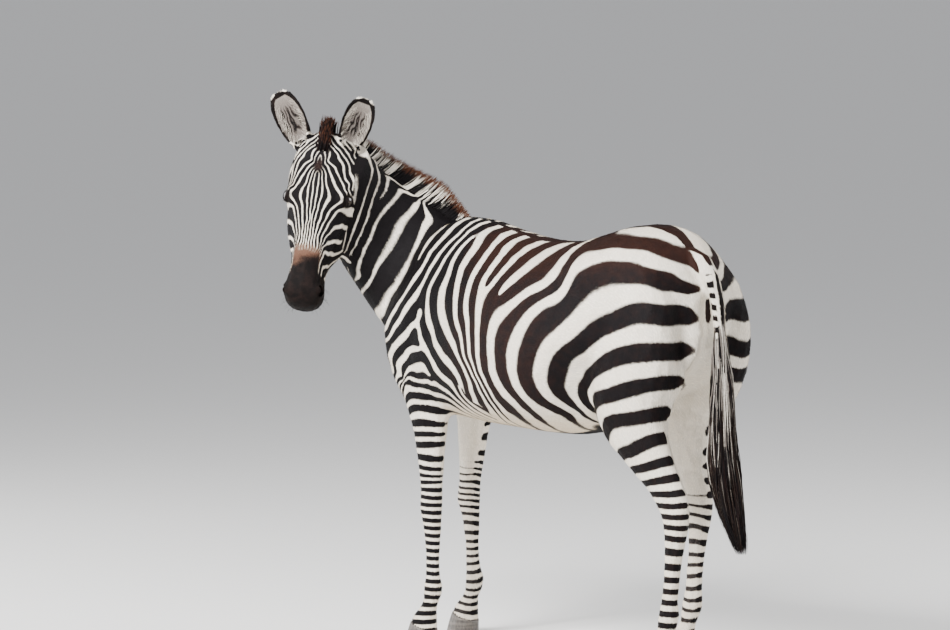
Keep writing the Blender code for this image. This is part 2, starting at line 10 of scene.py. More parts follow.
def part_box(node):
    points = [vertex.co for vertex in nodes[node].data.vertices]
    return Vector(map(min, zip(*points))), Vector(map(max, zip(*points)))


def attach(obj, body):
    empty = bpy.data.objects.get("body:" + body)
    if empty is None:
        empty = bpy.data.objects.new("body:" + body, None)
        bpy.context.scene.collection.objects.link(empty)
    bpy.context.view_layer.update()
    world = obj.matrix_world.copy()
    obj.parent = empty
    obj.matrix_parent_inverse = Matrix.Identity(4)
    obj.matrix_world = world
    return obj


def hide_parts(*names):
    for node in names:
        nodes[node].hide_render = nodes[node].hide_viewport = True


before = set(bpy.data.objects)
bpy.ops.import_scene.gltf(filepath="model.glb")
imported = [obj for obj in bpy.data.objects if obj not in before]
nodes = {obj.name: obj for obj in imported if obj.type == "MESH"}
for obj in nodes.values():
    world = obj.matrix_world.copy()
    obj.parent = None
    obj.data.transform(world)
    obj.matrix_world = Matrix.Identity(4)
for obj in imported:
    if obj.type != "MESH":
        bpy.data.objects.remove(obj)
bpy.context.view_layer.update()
sides = {"left": 1, "right": -1}
print("frame loaded")


# points and meshes as arrays
def unit(rows):
    return rows / np.maximum(np.linalg.norm(rows, axis=-1, keepdims=True), 1e-9)


def rise(value, low, high):  # soft step from 0 at low to 1 at high
    t = np.clip((value - low) / (high - low), 0, 1)
    return t * t * (3 - 2 * t)


def curveThrough(rows, steps):  # smooth curve through the rows
    rows = np.array(rows, float)
    padded = np.vstack([2 * rows[0] - rows[1], rows, 2 * rows[-1] - rows[-2]])
    made = []
    for i in range(1, len(padded) - 2):
        a, b, c, d = padded[i - 1:i + 3]
        for k in range(steps):
            t = k / steps
            made.append((2 * b + (c - a) * t + (2 * a - 5 * b + 4 * c - d) * t ** 2
                         + (3 * b - a - 3 * c + d) * t ** 3) / 2)
    made.append(rows[-1])
    return np.array(made)


def ripple(points, size, seed):  # smooth noise of about -1 to 1
    rng = np.random.default_rng(seed)
    total = np.zeros(len(points))
    for k in range(7):
        way = unit(rng.normal(size=3)) * (2 * math.pi / size) * rng.uniform(0.6, 1.5)
        total += np.sin(points @ way + rng.uniform(0, 6.3))
    return total / 2.6


def addObject(name, mesh):
    thing = bpy.data.objects.new(name, mesh)
    bpy.context.scene.collection.objects.link(thing)
    return thing


def meshObject(name, points, faces):  # faces: array of triangles or quads
    faces = np.asarray(faces)
    mesh = bpy.data.meshes.new(name)
    mesh.vertices.add(len(points))
    mesh.vertices.foreach_set("co", np.asarray(points, np.float32).ravel())
    mesh.loops.add(faces.size)
    mesh.loops.foreach_set("vertex_index", faces.ravel().astype(np.int32))
    mesh.polygons.add(len(faces))
    mesh.polygons.foreach_set("loop_start", np.arange(len(faces), dtype=np.int32) * faces.shape[1])
    mesh.update(calc_edges=True)
    mesh.validate()
    mesh.shade_smooth()
    return addObject(name, mesh)


def pointsOf(thing, kind="co"):
    rows = np.zeros(len(thing.data.vertices) * 3, np.float32)
    thing.data.vertices.foreach_get(kind, rows)
    return rows.reshape(-1, 3).astype(float)


def normalsOf(thing):
    return pointsOf(thing, "normal")


def setPoints(thing, points):
    thing.data.vertices.foreach_set("co", points.astype(np.float32).ravel())
    thing.data.update()


def edgesOf(thing):
    pairs = np.zeros(len(thing.data.edges) * 2, np.int32)
    thing.data.edges.foreach_get("vertices", pairs)
    return pairs.reshape(-1, 2)


def eased(points, edges, rounds, give=0.5, take=-0.52, share=1.0):  # smooths without shrinking
    count = len(points)
    degree = np.bincount(edges.ravel(), minlength=count)[:, None]
    for i in range(rounds):
        for step in (give, take):
            total = np.zeros_like(points)
            for axis in range(3):
                total[:, axis] = np.bincount(edges[:, 0], points[edges[:, 1], axis], count)
                total[:, axis] += np.bincount(edges[:, 1], points[edges[:, 0], axis], count)
            points = points + (total / np.maximum(degree, 1) - points) * (step * share)
    return points


def welded(node):  # the node's solid, with its corners joined
    form = bmesh.new()
    form.from_mesh(nodes[node].data)
    bmesh.ops.remove_doubles(form, verts=form.verts, dist=2e-5)
    return form


def fused(name, form, size):  # the form as one closed surface with faces of that size
    mesh = bpy.data.meshes.new(name)
    form.to_mesh(mesh)
    form.free()
    thing = addObject(name, mesh)
    fuse = thing.modifiers.new("fuse", "REMESH")
    fuse.mode = "VOXEL"
    fuse.voxel_size = size
    shape = thing.evaluated_get(bpy.context.evaluated_depsgraph_get())
    mesh = bpy.data.meshes.new_from_object(shape)
    bpy.data.objects.remove(thing)
    return addObject(name, mesh)


def setValues(thing, values):  # one number per point, read by the materials
    for name, rows in values.items():
        layer = thing.data.attributes.new(name, "FLOAT", "POINT")
        layer.data.foreach_set("value", np.asarray(rows, np.float32))


# the head's own directions, from where the eyes are
headPose = {
    "looksTo": 49,  # angles in degrees
    "tilt": 24,
    "lean": 9,
    "turn": 10,
    "eyeDown": 0.186,
    "eyeOut": -0.042,
    "core": 0.09,  # how far the middle of the head lies behind the forehead
}


def headDirections():
    looks, tilt, lean = (math.radians(headPose[k]) for k in ("looksTo", "tilt", "lean"))
    toward = Vector((math.sin(looks), -math.cos(looks), 0))
    aside = Vector((math.cos(looks), math.sin(looks), 0))
    level = math.cos(tilt)
    nose = toward * math.sin(tilt)
    nose -= Vector((0, 0, level * math.cos(lean))) + aside * (level * math.sin(lean))
    brow = (toward - nose * toward.dot(nose)).normalized()
    brow.rotate(Matrix.Rotation(math.radians(headPose["turn"]), 3, nose))
    return np.array(nose), np.array(brow.cross(nose).normalized()), np.array(brow)


def middleOf(node):
    low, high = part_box(node)
    return np.array((low + high) / 2)


noseWay, sideWay, browWay = headDirections()
eyeMiddle = (middleOf("eye_left") + middleOf("eye_right")) / 2
poll = eyeMiddle - noseWay * headPose["eyeDown"] - browWay * headPose["eyeOut"]


def headPoint(down, left, out):
    return poll + noseWay * down + sideWay * left + browWay * out


def headPlaces(points):  # down the nose, to the left, out of the forehead
    away = points - poll
    return away @ noseWay, away @ sideWay, away @ browWay


def headTurn(aside, out):  # degrees round the head from the middle of the face
    return np.degrees(np.arctan2(aside, out + headPose["core"]))


# the neck's line, and places on the body as if the neck were straight
neckRows = [  # x, y, z, half width, half depth
    (-0.322, 0.106, 0.965, 0.165, 0.265),
    (-0.422, 0.100, 1.020, 0.142, 0.232),
    (-0.517, 0.080, 1.080, 0.118, 0.200),
    (-0.584, 0.040, 1.150, 0.100, 0.172),
    (-0.624, -0.012, 1.220, 0.088, 0.152),
    (-0.636, -0.066, 1.290, 0.081, 0.136),
    (-0.626, -0.116, 1.358, 0.076, 0.120),
    (-0.606, -0.156, 1.412, 0.070, 0.100),
]
middleY = 0.1061  # of the trunk
neckCurve = curveThrough(neckRows, 10)
plan = np.vstack([[(x, middleY) for x in np.arange(-0.10, -0.30, -0.012)], neckCurve[:, :2]])
planSteps = np.diff(plan, axis=0)
planLengths = np.linalg.norm(planSteps, axis=1)
planAlong = plan[0, 0] - np.concatenate([[0], np.cumsum(planLengths)])
planHeight = np.concatenate([np.full(len(plan) - len(neckCurve), neckRows[0][2]), neckCurve[:, 2]])
planBlur = 0.05  # how widely the places near a point are averaged


def straightened(points):  # x along the straightened body, and how far to its left
    total, along, left = np.full(len(points), 1e-300), np.zeros(len(points)), np.zeros(len(points))
    last = len(planSteps) - 1
    for i, (start, step, length) in enumerate(zip(plan[:-1], planSteps, planLengths)):
        upright = 0.8 * rise(np.array(-planAlong[i]), 0.34, 0.56)  # up the neck, height counts as well
        away = points[:, :2] - start
        climb = upright * (points[:, 2] - planHeight[i])
        slope = upright * (planHeight[i + 1] - planHeight[i])
        share = np.clip((away @ step + climb * slope) / (length ** 2 + slope ** 2), 0, 9 if i == last else 1)
        gap = away - share[:, None] * step
        square = (gap ** 2).sum(1) + (climb - share * slope) ** 2
        weight = length * np.exp(-np.minimum(square / planBlur ** 2, 600))
        total += weight
        along += weight * (planAlong[i] - share * length)
        left += weight * (gap[:, 1] * step[0] - gap[:, 0] * step[1]) / length
    upper = 1 - rise(-points[:, 0], 0.33, 0.45) * rise(-points[:, 2], -1.07, -0.99)
    upper *= rise(-points[:, 0], 0.24, 0.36)  # the chest and the trunk stay where they are
    flat = middleY - points[:, 1]
    return points[:, 0] + (along / total - points[:, 0]) * upper, flat + (left / total - flat) * upper


# stripes: the middle of each dark stripe has a whole number, of each pale one a half
bodyStripes = [  # number, then places along the straightened body and up
    (-6.5, (-0.801, 1.375), (-0.792, 1.340), (-0.782, 1.304)),
    (-5.5, (-0.787, 1.430), (-0.775, 1.394), (-0.774, 1.361), (-0.773, 1.338), (-0.767, 1.309),
     (-0.757, 1.279), (-0.744, 1.249), (-0.730, 1.219), (-0.716, 1.189), (-0.701, 1.158)),
    (-4.5, (-0.754, 1.398), (-0.746, 1.375), (-0.744, 1.349), (-0.745, 1.327), (-0.743, 1.304),
     (-0.736, 1.278), (-0.726, 1.254), (-0.717, 1.225), (-0.704, 1.189), (-0.693, 1.159), (-0.682, 1.130)),
    (-3.5, (-0.668, 1.346), (-0.675, 1.325), (-0.683, 1.303), (-0.690, 1.284), (-0.696, 1.261),
     (-0.696, 1.239), (-0.688, 1.212), (-0.680, 1.188), (-0.673, 1.159), (-0.663, 1.128), (-0.652, 1.098),
     (-0.640, 1.073)),
    (-2.5, (-0.557, 1.309), (-0.584, 1.287), (-0.614, 1.268), (-0.628, 1.245), (-0.627, 1.216),
     (-0.624, 1.187), (-0.621, 1.158), (-0.620, 1.129), (-0.618, 1.099), (-0.613, 1.068), (-0.611, 1.046),
     (-0.645, 1.020)),
    (-1.5, (-0.417, 1.299), (-0.430, 1.272), (-0.437, 1.253), (-0.454, 1.231), (-0.480, 1.202),
     (-0.496, 1.179), (-0.512, 1.155), (-0.517, 1.131), (-0.524, 1.101), (-0.532, 1.071), (-0.532, 1.041),
     (-0.537, 1.010), (-0.562, 0.979), (-0.600, 0.960)),
    (-0.5, (-0.336, 1.240), (-0.345, 1.207), (-0.357, 1.186), (-0.369, 1.165), (-0.378, 1.137),
     (-0.394, 1.107), (-0.419, 1.077), (-0.441, 1.047), (-0.450, 1.017), (-0.464, 0.986), (-0.486, 0.956),
     (-0.507, 0.932), (-0.560, 0.905)),
    (0.5, (-0.280, 1.240), (-0.284, 1.213), (-0.300, 1.192), (-0.322, 1.165), (-0.338, 1.139),
     (-0.353, 1.109), (-0.364, 1.080), (-0.379, 1.050), (-0.399, 1.020), (-0.415, 0.990), (-0.426, 0.970),
     (-0.454, 0.935), (-0.479, 0.903)),
    (1, (-0.265, 1.238), (-0.312, 1.125), (-0.348, 1.033), (-0.371, 0.984), (-0.402, 0.957), (-0.420, 0.936),
     (-0.440, 0.921), (-0.472, 0.895), (-0.519, 0.874)),
    (1, (-0.344, 1.012), (-0.334, 0.957), (-0.308, 0.930), (-0.281, 0.904), (-0.256, 0.882), (-0.226, 0.862),
     (-0.198, 0.838), (-0.169, 0.821), (-0.142, 0.808)),
    (1.5, (-0.253, 1.212), (-0.289, 1.129), (-0.319, 1.032), (-0.295, 0.959), (-0.265, 0.929),
     (-0.232, 0.898), (-0.191, 0.872), (-0.125, 0.825)),
    (2, (-0.223, 1.231), (-0.258, 1.162), (-0.283, 1.067), (-0.263, 0.970), (-0.230, 0.935), (-0.160, 0.892),
     (-0.096, 0.842), (-0.096, 0.746)),
    (2.5, (-0.238, 1.162), (-0.233, 1.100), (-0.242, 1.042), (-0.192, 0.958), (-0.100, 0.875),
     (-0.062, 0.779), (-0.075, 0.729)),
    (3, (-0.208, 1.196), (-0.212, 1.125), (-0.183, 1.008), (-0.104, 0.921), (-0.046, 0.829), (-0.038, 0.738)),
    (3.5, (-0.188, 1.242), (-0.175, 1.192), (-0.183, 1.125), (-0.154, 1.033), (-0.083, 0.917),
     (-0.021, 0.808), (-0.012, 0.758)),
    (4, (-0.162, 1.229), (-0.142, 1.196), (-0.142, 1.117), (-0.108, 0.992), (-0.054, 0.883), (0.004, 0.717)),
    (4.5, (-0.125, 1.225), (-0.108, 1.179), (-0.108, 1.108), (-0.067, 0.983), (-0.017, 0.842), (0.012, 0.708)),
    (5, (-0.088, 1.217), (-0.075, 1.162), (-0.079, 1.100), (-0.046, 0.992), (-0.004, 0.838), (0.029, 0.717)),
    (5.5, (-0.062, 1.204), (-0.042, 1.175), (-0.046, 1.104), (-0.029, 1.050), (-0.004, 0.925),
     (0.029, 0.808), (0.042, 0.758)),
    (5.5, (0.029, 1.183), (0.008, 1.104)),
    (6, (0.075, 1.181), (0.038, 1.097), (0.024, 1.019), (0.033, 0.866), (0.075, 0.750), (0.103, 0.708)),
    (6, (0.209, 1.190), (0.181, 1.130), (0.121, 1.079)),
    (6.5, (0.256, 1.199), (0.265, 1.157), (0.228, 1.097), (0.154, 1.056), (0.066, 0.972), (0.070, 0.880),
     (0.126, 0.759)),
    (7, (0.316, 1.139), (0.274, 1.088), (0.209, 1.056), (0.126, 0.963), (0.121, 0.833), (0.177, 0.731)),
    (7, (0.320, 1.218), (0.413, 1.227), (0.506, 1.231), (0.575, 1.218), (0.658, 1.167)),
    (7.5, (0.644, 1.157), (0.552, 1.199), (0.459, 1.199), (0.357, 1.148), (0.269, 1.056), (0.168, 0.917),
     (0.177, 0.792), (0.209, 0.750)),
    (8, (0.672, 1.102), (0.552, 1.148), (0.413, 1.116), (0.320, 1.014), (0.228, 0.898), (0.228, 0.792),
     (0.283, 0.731)),
    (8.5, (0.672, 1.079), (0.552, 1.088), (0.450, 1.042), (0.311, 0.926), (0.265, 0.819), (0.288, 0.764)),
    (9, (0.677, 1.028), (0.543, 1.014), (0.413, 0.935), (0.316, 0.847), (0.306, 0.810)),
    (9.5, (0.672, 0.986), (0.506, 0.949), (0.390, 0.880), (0.353, 0.833)),
    (10, (0.672, 0.931), (0.506, 0.898), (0.394, 0.833)),
    (10.5, (0.672, 0.889), (0.552, 0.866), (0.394, 0.806)),
    (11, (0.663, 0.843), (0.529, 0.806), (0.459, 0.787)),
    (11.5, (0.658, 0.806), (0.496, 0.759)),
    (12, (0.644, 0.755), (0.506, 0.727)),
    (12.5, (0.644, 0.722), (0.560, 0.695)),
    (13, (0.649, 0.690), (0.566, 0.644)),
    (14, (0.672, 0.625), (0.566, 0.597)),
    (15, (0.690, 0.579), (0.590, 0.555)),
    (16, (0.700, 0.535), (0.600, 0.525)),
    (18, (0.690, 0.470), (0.610, 0.465)),
    (20, (0.690, 0.410), (0.600, 0.405)),
    (22, (0.700, 0.325), (0.610, 0.325)),
    (25, (0.700, 0.225), (0.610, 0.225)),
    (29, (0.700, 0.090), (0.610, 0.090)),
]
bodyForks = [  # where a stripe ends or begins: place, turns, and tilt to the rear in degrees
    (-0.427, 1.134, -1, 12), (-0.724, 1.306, -1, 14), (-0.210, 1.206, 1, 0),
    (-0.019, 1.079, -1, 5), (0.061, 1.060, -1, 33)]
legStripes = [  # the same on the foreleg, counted down from the stripe that crosses the shoulder's foot
    (-0.5, (-0.404, 1.013), (-0.426, 0.970), (-0.454, 0.935), (-0.479, 0.903), (-0.295, 0.959),
     (-0.265, 0.929), (-0.232, 0.898), (-0.191, 0.872)),
    (0, (-0.352, 1.014), (-0.371, 0.984), (-0.402, 0.957), (-0.420, 0.936), (-0.440, 0.921), (-0.472, 0.895),
     (-0.519, 0.874)),
    (0, (-0.334, 0.957), (-0.308, 0.930), (-0.281, 0.904), (-0.256, 0.882), (-0.226, 0.862), (-0.198, 0.838),
     (-0.169, 0.821), (-0.142, 0.808), (-0.105, 0.765)),
    (0.5, (-0.358, 0.985), (-0.361, 0.953), (-0.391, 0.931), (-0.408, 0.912), (-0.430, 0.896),
     (-0.448, 0.880), (-0.472, 0.859), (-0.485, 0.839), (-0.478, 0.813)),
    (0.5, (-0.346, 0.941), (-0.333, 0.914)),
    (1, (-0.363, 0.928), (-0.361, 0.905), (-0.401, 0.886), (-0.429, 0.869), (-0.452, 0.849), (-0.467, 0.825),
     (-0.468, 0.800)),
    (1.5, (-0.351, 0.881), (-0.393, 0.872), (-0.403, 0.856), (-0.426, 0.839), (-0.445, 0.819), (-0.451, 0.796)),
    (2, (-0.336, 0.862), (-0.383, 0.843), (-0.405, 0.826), (-0.420, 0.806), (-0.426, 0.788), (-0.296, 0.856),
     (-0.277, 0.843), (-0.266, 0.828)),
    (2.5, (-0.387, 0.820), (-0.341, 0.827), (-0.301, 0.826), (-0.285, 0.814), (-0.406, 0.803)),
    (3, (-0.390, 0.803), (-0.352, 0.800), (-0.304, 0.803), (-0.275, 0.798)),
    (3.5, (-0.400, 0.791), (-0.351, 0.786), (-0.295, 0.790), (-0.261, 0.786), (-0.225, 0.773), (-0.196, 0.762)),
    (4, (-0.420, 0.772), (-0.402, 0.778), (-0.375, 0.773), (-0.337, 0.772), (-0.292, 0.766), (-0.241, 0.762)),
    (4.5, (-0.410, 0.754), (-0.355, 0.759), (-0.316, 0.754), (-0.268, 0.748), (-0.234, 0.745)),
    (5, (-0.416, 0.728), (-0.403, 0.736), (-0.368, 0.740), (-0.341, 0.737), (-0.301, 0.734), (-0.233, 0.728)),
    (5.5, (-0.421, 0.708), (-0.401, 0.715), (-0.360, 0.721), (-0.330, 0.721)),
    (6, (-0.421, 0.687), (-0.404, 0.696), (-0.362, 0.706), (-0.339, 0.703), (-0.310, 0.696)),
    (7, (-0.430, 0.650), (-0.380, 0.655), (-0.310, 0.655)),
    (8, (-0.430, 0.620), (-0.320, 0.626)),
    (9, (-0.430, 0.592), (-0.325, 0.598)),
    (10, (-0.430, 0.556), (-0.330, 0.552)),
    (11, (-0.430, 0.526), (-0.330, 0.522)),
    (12, (-0.430, 0.503), (-0.330, 0.500)),
    (13, (-0.430, 0.480), (-0.330, 0.484)),
    (14, (-0.430, 0.456), (-0.330, 0.458)),
    (15, (-0.430, 0.437), (-0.330, 0.434)),
    (16, (-0.430, 0.416), (-0.330, 0.414)),
    (18, (-0.430, 0.368), (-0.330, 0.368)),
    (22, (-0.430, 0.278), (-0.330, 0.278)),
    (30, (-0.430, 0.090), (-0.330, 0.090)),
]
legForks = [(-0.334, 0.891, 1, 116), (-0.272, 0.809, 1, 109)]


def sheetKernel(gap):
    square = np.maximum((gap ** 2).sum(-1), 1e-12)
    return square * np.log(square) / 2


def bentSheet(places, heights, ease):  # the smoothest surface through the given heights
    count = len(places)
    matrix = np.zeros((count + 3, count + 3))
    matrix[:count, :count] = sheetKernel(places[:, None] - places[None]) + np.eye(count) * ease
    matrix[:count, count] = 1
    matrix[:count, count + 1:] = places
    matrix[count:, :count] = matrix[:count, count:].T
    weights = np.linalg.solve(matrix, np.concatenate([heights, [0, 0, 0]]))

    def height(spots):
        total = np.zeros(len(spots))
        for first in range(0, len(spots), 20000):
            part = spots[first:first + 20000]
            total[first:first + 20000] = sheetKernel(part[:, None] - places[None]) @ weights[:count]
        return total + weights[count] + spots @ weights[count + 1:]
    return height


def forkTurns(spots, forks):
    total = np.zeros(len(spots))
    for along, up, turn, tilt in forks:
        way = math.radians(tilt)
        ahead, above = spots[:, 0] - along, spots[:, 1] - up
        aside = ahead * math.cos(way) - above * math.sin(way)
        total += turn * np.arctan2(aside, -(ahead * math.sin(way) + above * math.cos(way))) / (2 * math.pi)
    return total


def stripeCount(table, forks=()):
    places = np.array([spot for row in table for spot in row[1:]])
    heights = np.array([row[0] for row in table for spot in row[1:]], float) - forkTurns(places, forks)
    plain = bentSheet(places, heights, 2e-5)
    return lambda spots: plain(spots) + forkTurns(spots, forks)


bodyCount = stripeCount(bodyStripes, bodyForks)
legCount = stripeCount(legStripes, legForks)

neckSteps = np.linalg.norm(np.diff(neckCurve[:, :3], axis=0), axis=1)
neckLengths = np.concatenate([[0], np.cumsum(neckSteps)])
neckAlong = planAlong[-len(neckCurve):]
coatLook = {
    "rightPeriod": 0.066,  # between the stripes on the right side of the neck, in metres
    "rightSlant": 0.5,
    "rightWander": 0.008,  # how far the right side's stripes stray from the left side's, in metres
    "wander": 0.0012,
    "waver": 0.16,  # how long the waves of the straying are
    "darkShare": 0.60,  # of each pair of a dark and a pale stripe
    "rootBars": 0.032,  # between the small bars beside the tail's root
}


def rightNeck(along, up):  # the right side of the neck has its own slanting stripes
    reach = np.interp(-along, -neckAlong, neckLengths) + np.maximum(0, -along + neckAlong[-1])
    above = up - np.interp(-along, -neckAlong, neckCurve[:, 2])
    return 0.6 - (reach - coatLook["rightSlant"] * above) / coatLook["rightPeriod"]


legLean = {  # how far the right leg stands behind the left, then heights and shares of it
    "fore": (0.09, [(0.0, 1.0), (0.27, 1.1), (0.405, 1.2), (0.535, 1.15), (0.62, 1.1), (0.70, 1.0),
                    (0.78, 0.8), (0.865, 0.4), (0.95, 0.1), (1.05, 0)]),
    "hind": (0.18, [(0.0, 1.0), (0.505, 1.0), (0.56, 0.9), (0.62, 0.75), (0.69, 0.55), (0.77, 0.35),
                    (0.86, 0.15), (0.96, 0), (1.05, 0)]),
}


def leanAt(kind, height):
    lean, rows = legLean[kind]
    return lean * np.interp(height, *zip(*rows))


def bodyMarks(points, normals):
    along, left = straightened(points)
    up = points[:, 2]
    right = rise(-left, -0.02, 0.02)  # 1 on the right side
    foreShift = leanAt("fore", up) * rise(-along, 0.15, 0.35)
    hindShift = leanAt("hind", up) * rise(along, 0.10, 0.30)
    wander = coatLook["wander"] + coatLook["rightWander"] * right
    spots = np.stack([along + right * (foreShift + hindShift), up], 1)
    for axis, seed in ((0, 3), (1, 4)):
        spots[:, axis] += wander * ripple(points, coatLook["waver"], seed)
    count = bodyCount(spots)
    fore = legCount(spots)
    onLeg = (fore > 0) & (spots[:, 0] < -0.05) & (up < 1.04)
    own = rise(-left, -0.03, 0.03) * rise(-along, 0.38, 0.48) * rise(up, 0.99, 1.07)  # right side of the neck
    count += (rightNeck(*spots.T) + 0.25 * ripple(points, 0.14, 12) - count) * own
    band = np.cos(2 * math.pi * np.where(onLeg, fore, count))
    # how much of each pair of stripes is dark
    share = np.full(len(points), coatLook["darkShare"])
    crest = np.interp(-along, [0.40, 0.50, 0.62, 0.76], [1.235, 1.275, 1.36, 1.46])
    share += rise(-along, 0.38, 0.55) * (0.01 + 0.15 * rise(crest - up, 0.03, 0.10)) * rise(up, 0.90, 1.02)
    share += 0.12 * rise(-along, 0.745, 0.785) * rise(-up, -1.42, -1.36) - 0.10 * own
    share += 0.06 * rise(-along, 0.16, 0.30) * rise(up, 0.95, 1.05)
    share -= 0.05 * rise(along, 0.20, 0.40)
    share -= 0.01 * rise(-up, -0.75, -0.55)
    aside = np.abs(left)
    medial = normals[:, 1] * np.sign(middleY - points[:, 1])
    belly = rise(-normals[:, 2], 0.45, 0.97) * rise(-up, -0.80, -0.68) * rise(up, 0.60, 0.66)
    belly *= rise(along, -0.48, -0.30) * rise(-along, -0.50, -0.30)
    share -= 0.40 * belly
    margin = np.interp(up, [0.60, 0.78, 0.85, 0.92, 1.02, 1.10], [0.085, 0.080, 0.064, 0.044, 0.030, 0.024])
    back = rise(margin - aside, -0.050, 0.012) * rise(along, 0.50, 0.58) * rise(up, 0.68, 0.76)
    share -= 0.66 * back * rise(-up, -1.13, -1.08)  # pale beside the tail
    # the sides that face between the legs: fewer stripes there, and greyed with painted shade
    inside = rise(medial, 0.10, 0.70) * rise(-up, -0.86, -0.72) * (1 - belly)
    share -= inside * (0.14 + 0.46 * rise(up, 0.44, 0.56))
    behind = rise(normals[:, 0], 0.45, 0.85) * rise(-along, 0.05, 0.15)
    behind *= rise(-up, -0.86, -0.76) * rise(up, 0.45, 0.55)
    share -= 0.10 * behind
    wide = np.interp(along, [-0.40, -0.15, 0.00, 0.20, 0.40, 0.50, 0.58, 0.66],
                     [0.009, 0.012, 0.026, 0.048, 0.056, 0.040, 0.018, 0.010])
    spine = rise(wide - aside, -0.004, 0.004)  # the dark line along the back
    spine *= np.maximum(rise(normals[:, 2], 0.45, 0.7), rise(along, 0.55, 0.62))
    spine *= rise(along, -0.42, -0.36) * rise(up, 0.98, 1.04)
    share += (0.62 - share) * spine
    # the dark line under the belly: partly its real dark middle stripe and partly painted shade, widened to
    # stand for the shade of the underside
    bellyLineAndShade = belly * rise(-aside - 0.012 * ripple(points, 0.10, 6), -0.085, -0.055) * rise(along, 0.02, 0.14)
    values = {
        "band": band + (1.2 - band) * spine,
        "edge": np.cos(math.pi * np.clip(share, 0.0, 0.98)) + 0.6 * rise(-share, -0.16, 0.0),
        "warm": np.clip(0.08 + 0.50 * rise(along, -0.32, -0.05) * (1 - 0.5 * rise(along, 0.15, 0.40))
                        + 0.5 * rise(up, 1.08, 1.22) * rise(along, -0.30, -0.10) + 0.4 * back, 0, 1),
        "cream": np.clip(0.20 + 0.5 * belly + 0.15 * rise(-up, -0.6, -0.3), 0, 1),
        # partly painted shade under the belly
        "soot": np.clip(0.9 * bellyLineAndShade, 0, 1),
        # painted shade: grey on the sides that face between the legs
        "ash": 0.30 * inside,
        "snout": np.zeros(len(points)),
    }
    # the tail's root: a line down its middle and small bars at its sides
    root = np.interp(up, [0.82, 0.99, 1.065, 1.20], [0.735, 0.728, 0.718, 0.690])
    around = np.degrees(np.arctan2(np.abs(points[:, 1] - middleY), points[:, 0] - root))
    dock = rise(-np.hypot(points[:, 0] - root, points[:, 1] - middleY), -0.044, -0.034)
    dock *= rise(-up, -1.19, -1.16)
    line = rise(-around, -32, -20)
    bars = np.cos(2 * math.pi * up / coatLook["rootBars"] + 0.6 * ripple(points, 0.08, 7))
    bars = rise(bars, -0.3, 0.1)
    bars *= rise(around, 46, 56) * rise(-around, -118, -104) * rise(-up, -1.155, -1.14)
    for name, rows in (("soot", np.maximum(line, bars)), ("edge", 1.7), ("ash", 0.3), ("warm", 0.1)):
        values[name] = values[name] + (rows - values[name]) * dock
    return values, along, left


faceStripes = [  # number, then places: degrees round from the face's middle line, and metres down the nose
    (0, (0, 0.17), (0, 0.20), (0, 0.24), (0, 0.30), (0, 0.36)),
    (0.5, (4, 0.13), (4.4, 0.155), (3.7, 0.18), (4.1, 0.21), (3.4, 0.24), (2.8, 0.28), (2.6, 0.33)),
    (1.5, (5.7, 0.114), (9, 0.13), (13, 0.17), (12.8, 0.194), (10.7, 0.221), (9, 0.248), (7.4, 0.275),
     (7.6, 0.302), (8.6, 0.345)),
    (2.5, (4, 0.098), (8.2, 0.109), (15.7, 0.138), (19, 0.16), (26.6, 0.194), (24, 0.213), (17.4, 0.267),
     (14.2, 0.31), (13.2, 0.337)),
    (3.5, (10, 0.08), (15, 0.098), (25.7, 0.133), (36.6, 0.165), (45, 0.197), (40.7, 0.213), (29, 0.254),
     (21.6, 0.297), (19, 0.315)),
    (4.5, (14, 0.082), (21.6, 0.092), (30, 0.109), (41.6, 0.143), (50, 0.17)),
    (4.5, (90, 0.203), (70, 0.209), (58, 0.214), (48, 0.222), (39, 0.254), (30.7, 0.297), (26.6, 0.318),
     (27, 0.35)),
    (5, (90, 0.228), (67, 0.238), (59, 0.243), (46, 0.257), (40.7, 0.275), (34, 0.30), (29.5, 0.335)),
    (5.5, (72, 0.256), (59, 0.267), (49, 0.278), (40.7, 0.30), (36.6, 0.31)),
    (6, (90, 0.276), (72, 0.283), (59, 0.289), (49, 0.299), (38.2, 0.313), (31, 0.34)),
    (6.5, (72, 0.305), (59, 0.313), (46, 0.324), (36.4, 0.337), (32.4, 0.353)),
    (7, (90, 0.318), (72, 0.324), (59, 0.329), (49, 0.337), (34, 0.359)),
    (7.5, (72, 0.342), (50, 0.353), (38, 0.367)),
    (8, (90, 0.360), (72, 0.367), (59, 0.372), (46, 0.38), (38, 0.388)),
    (8.5, (72, 0.383), (50, 0.396)),
    (9, (72, 0.404), (52, 0.415)),
    (9.5, (72, 0.425),),
    (5.5, (13, 0.028), (21, 0.041), (30, 0.058), (39.4, 0.087), (45.7, 0.133), (52.4, 0.162)),
    (6.5, (20, 0.025), (35, 0.052), (50, 0.084), (53.2, 0.133), (56.4, 0.154)),
    (7.5, (26, 0.010), (43, 0.038), (60, 0.075)),
]
faceLook = {
    "middle": -2.4,  # degrees, where the face's middle line lies
    "perDegree": 0.0017,  # metres round the head
    "darkShare": 0.73,
    "neckFrom": [  # metres down the nose, and the degrees round the head where the neck's stripes begin
        (-0.10, 80), (0.00, 78), (0.03, 68), (0.08, 57), (0.13, 54), (0.16, 58),
        (0.18, 66), (0.20, 78), (0.225, 90), (0.26, 96), (0.30, 100), (0.50, 100)],
}
faceCount = stripeCount([(row[0], *[(turn * faceLook["perDegree"], down) for turn, down in row[1:]])
                         for row in faceStripes])


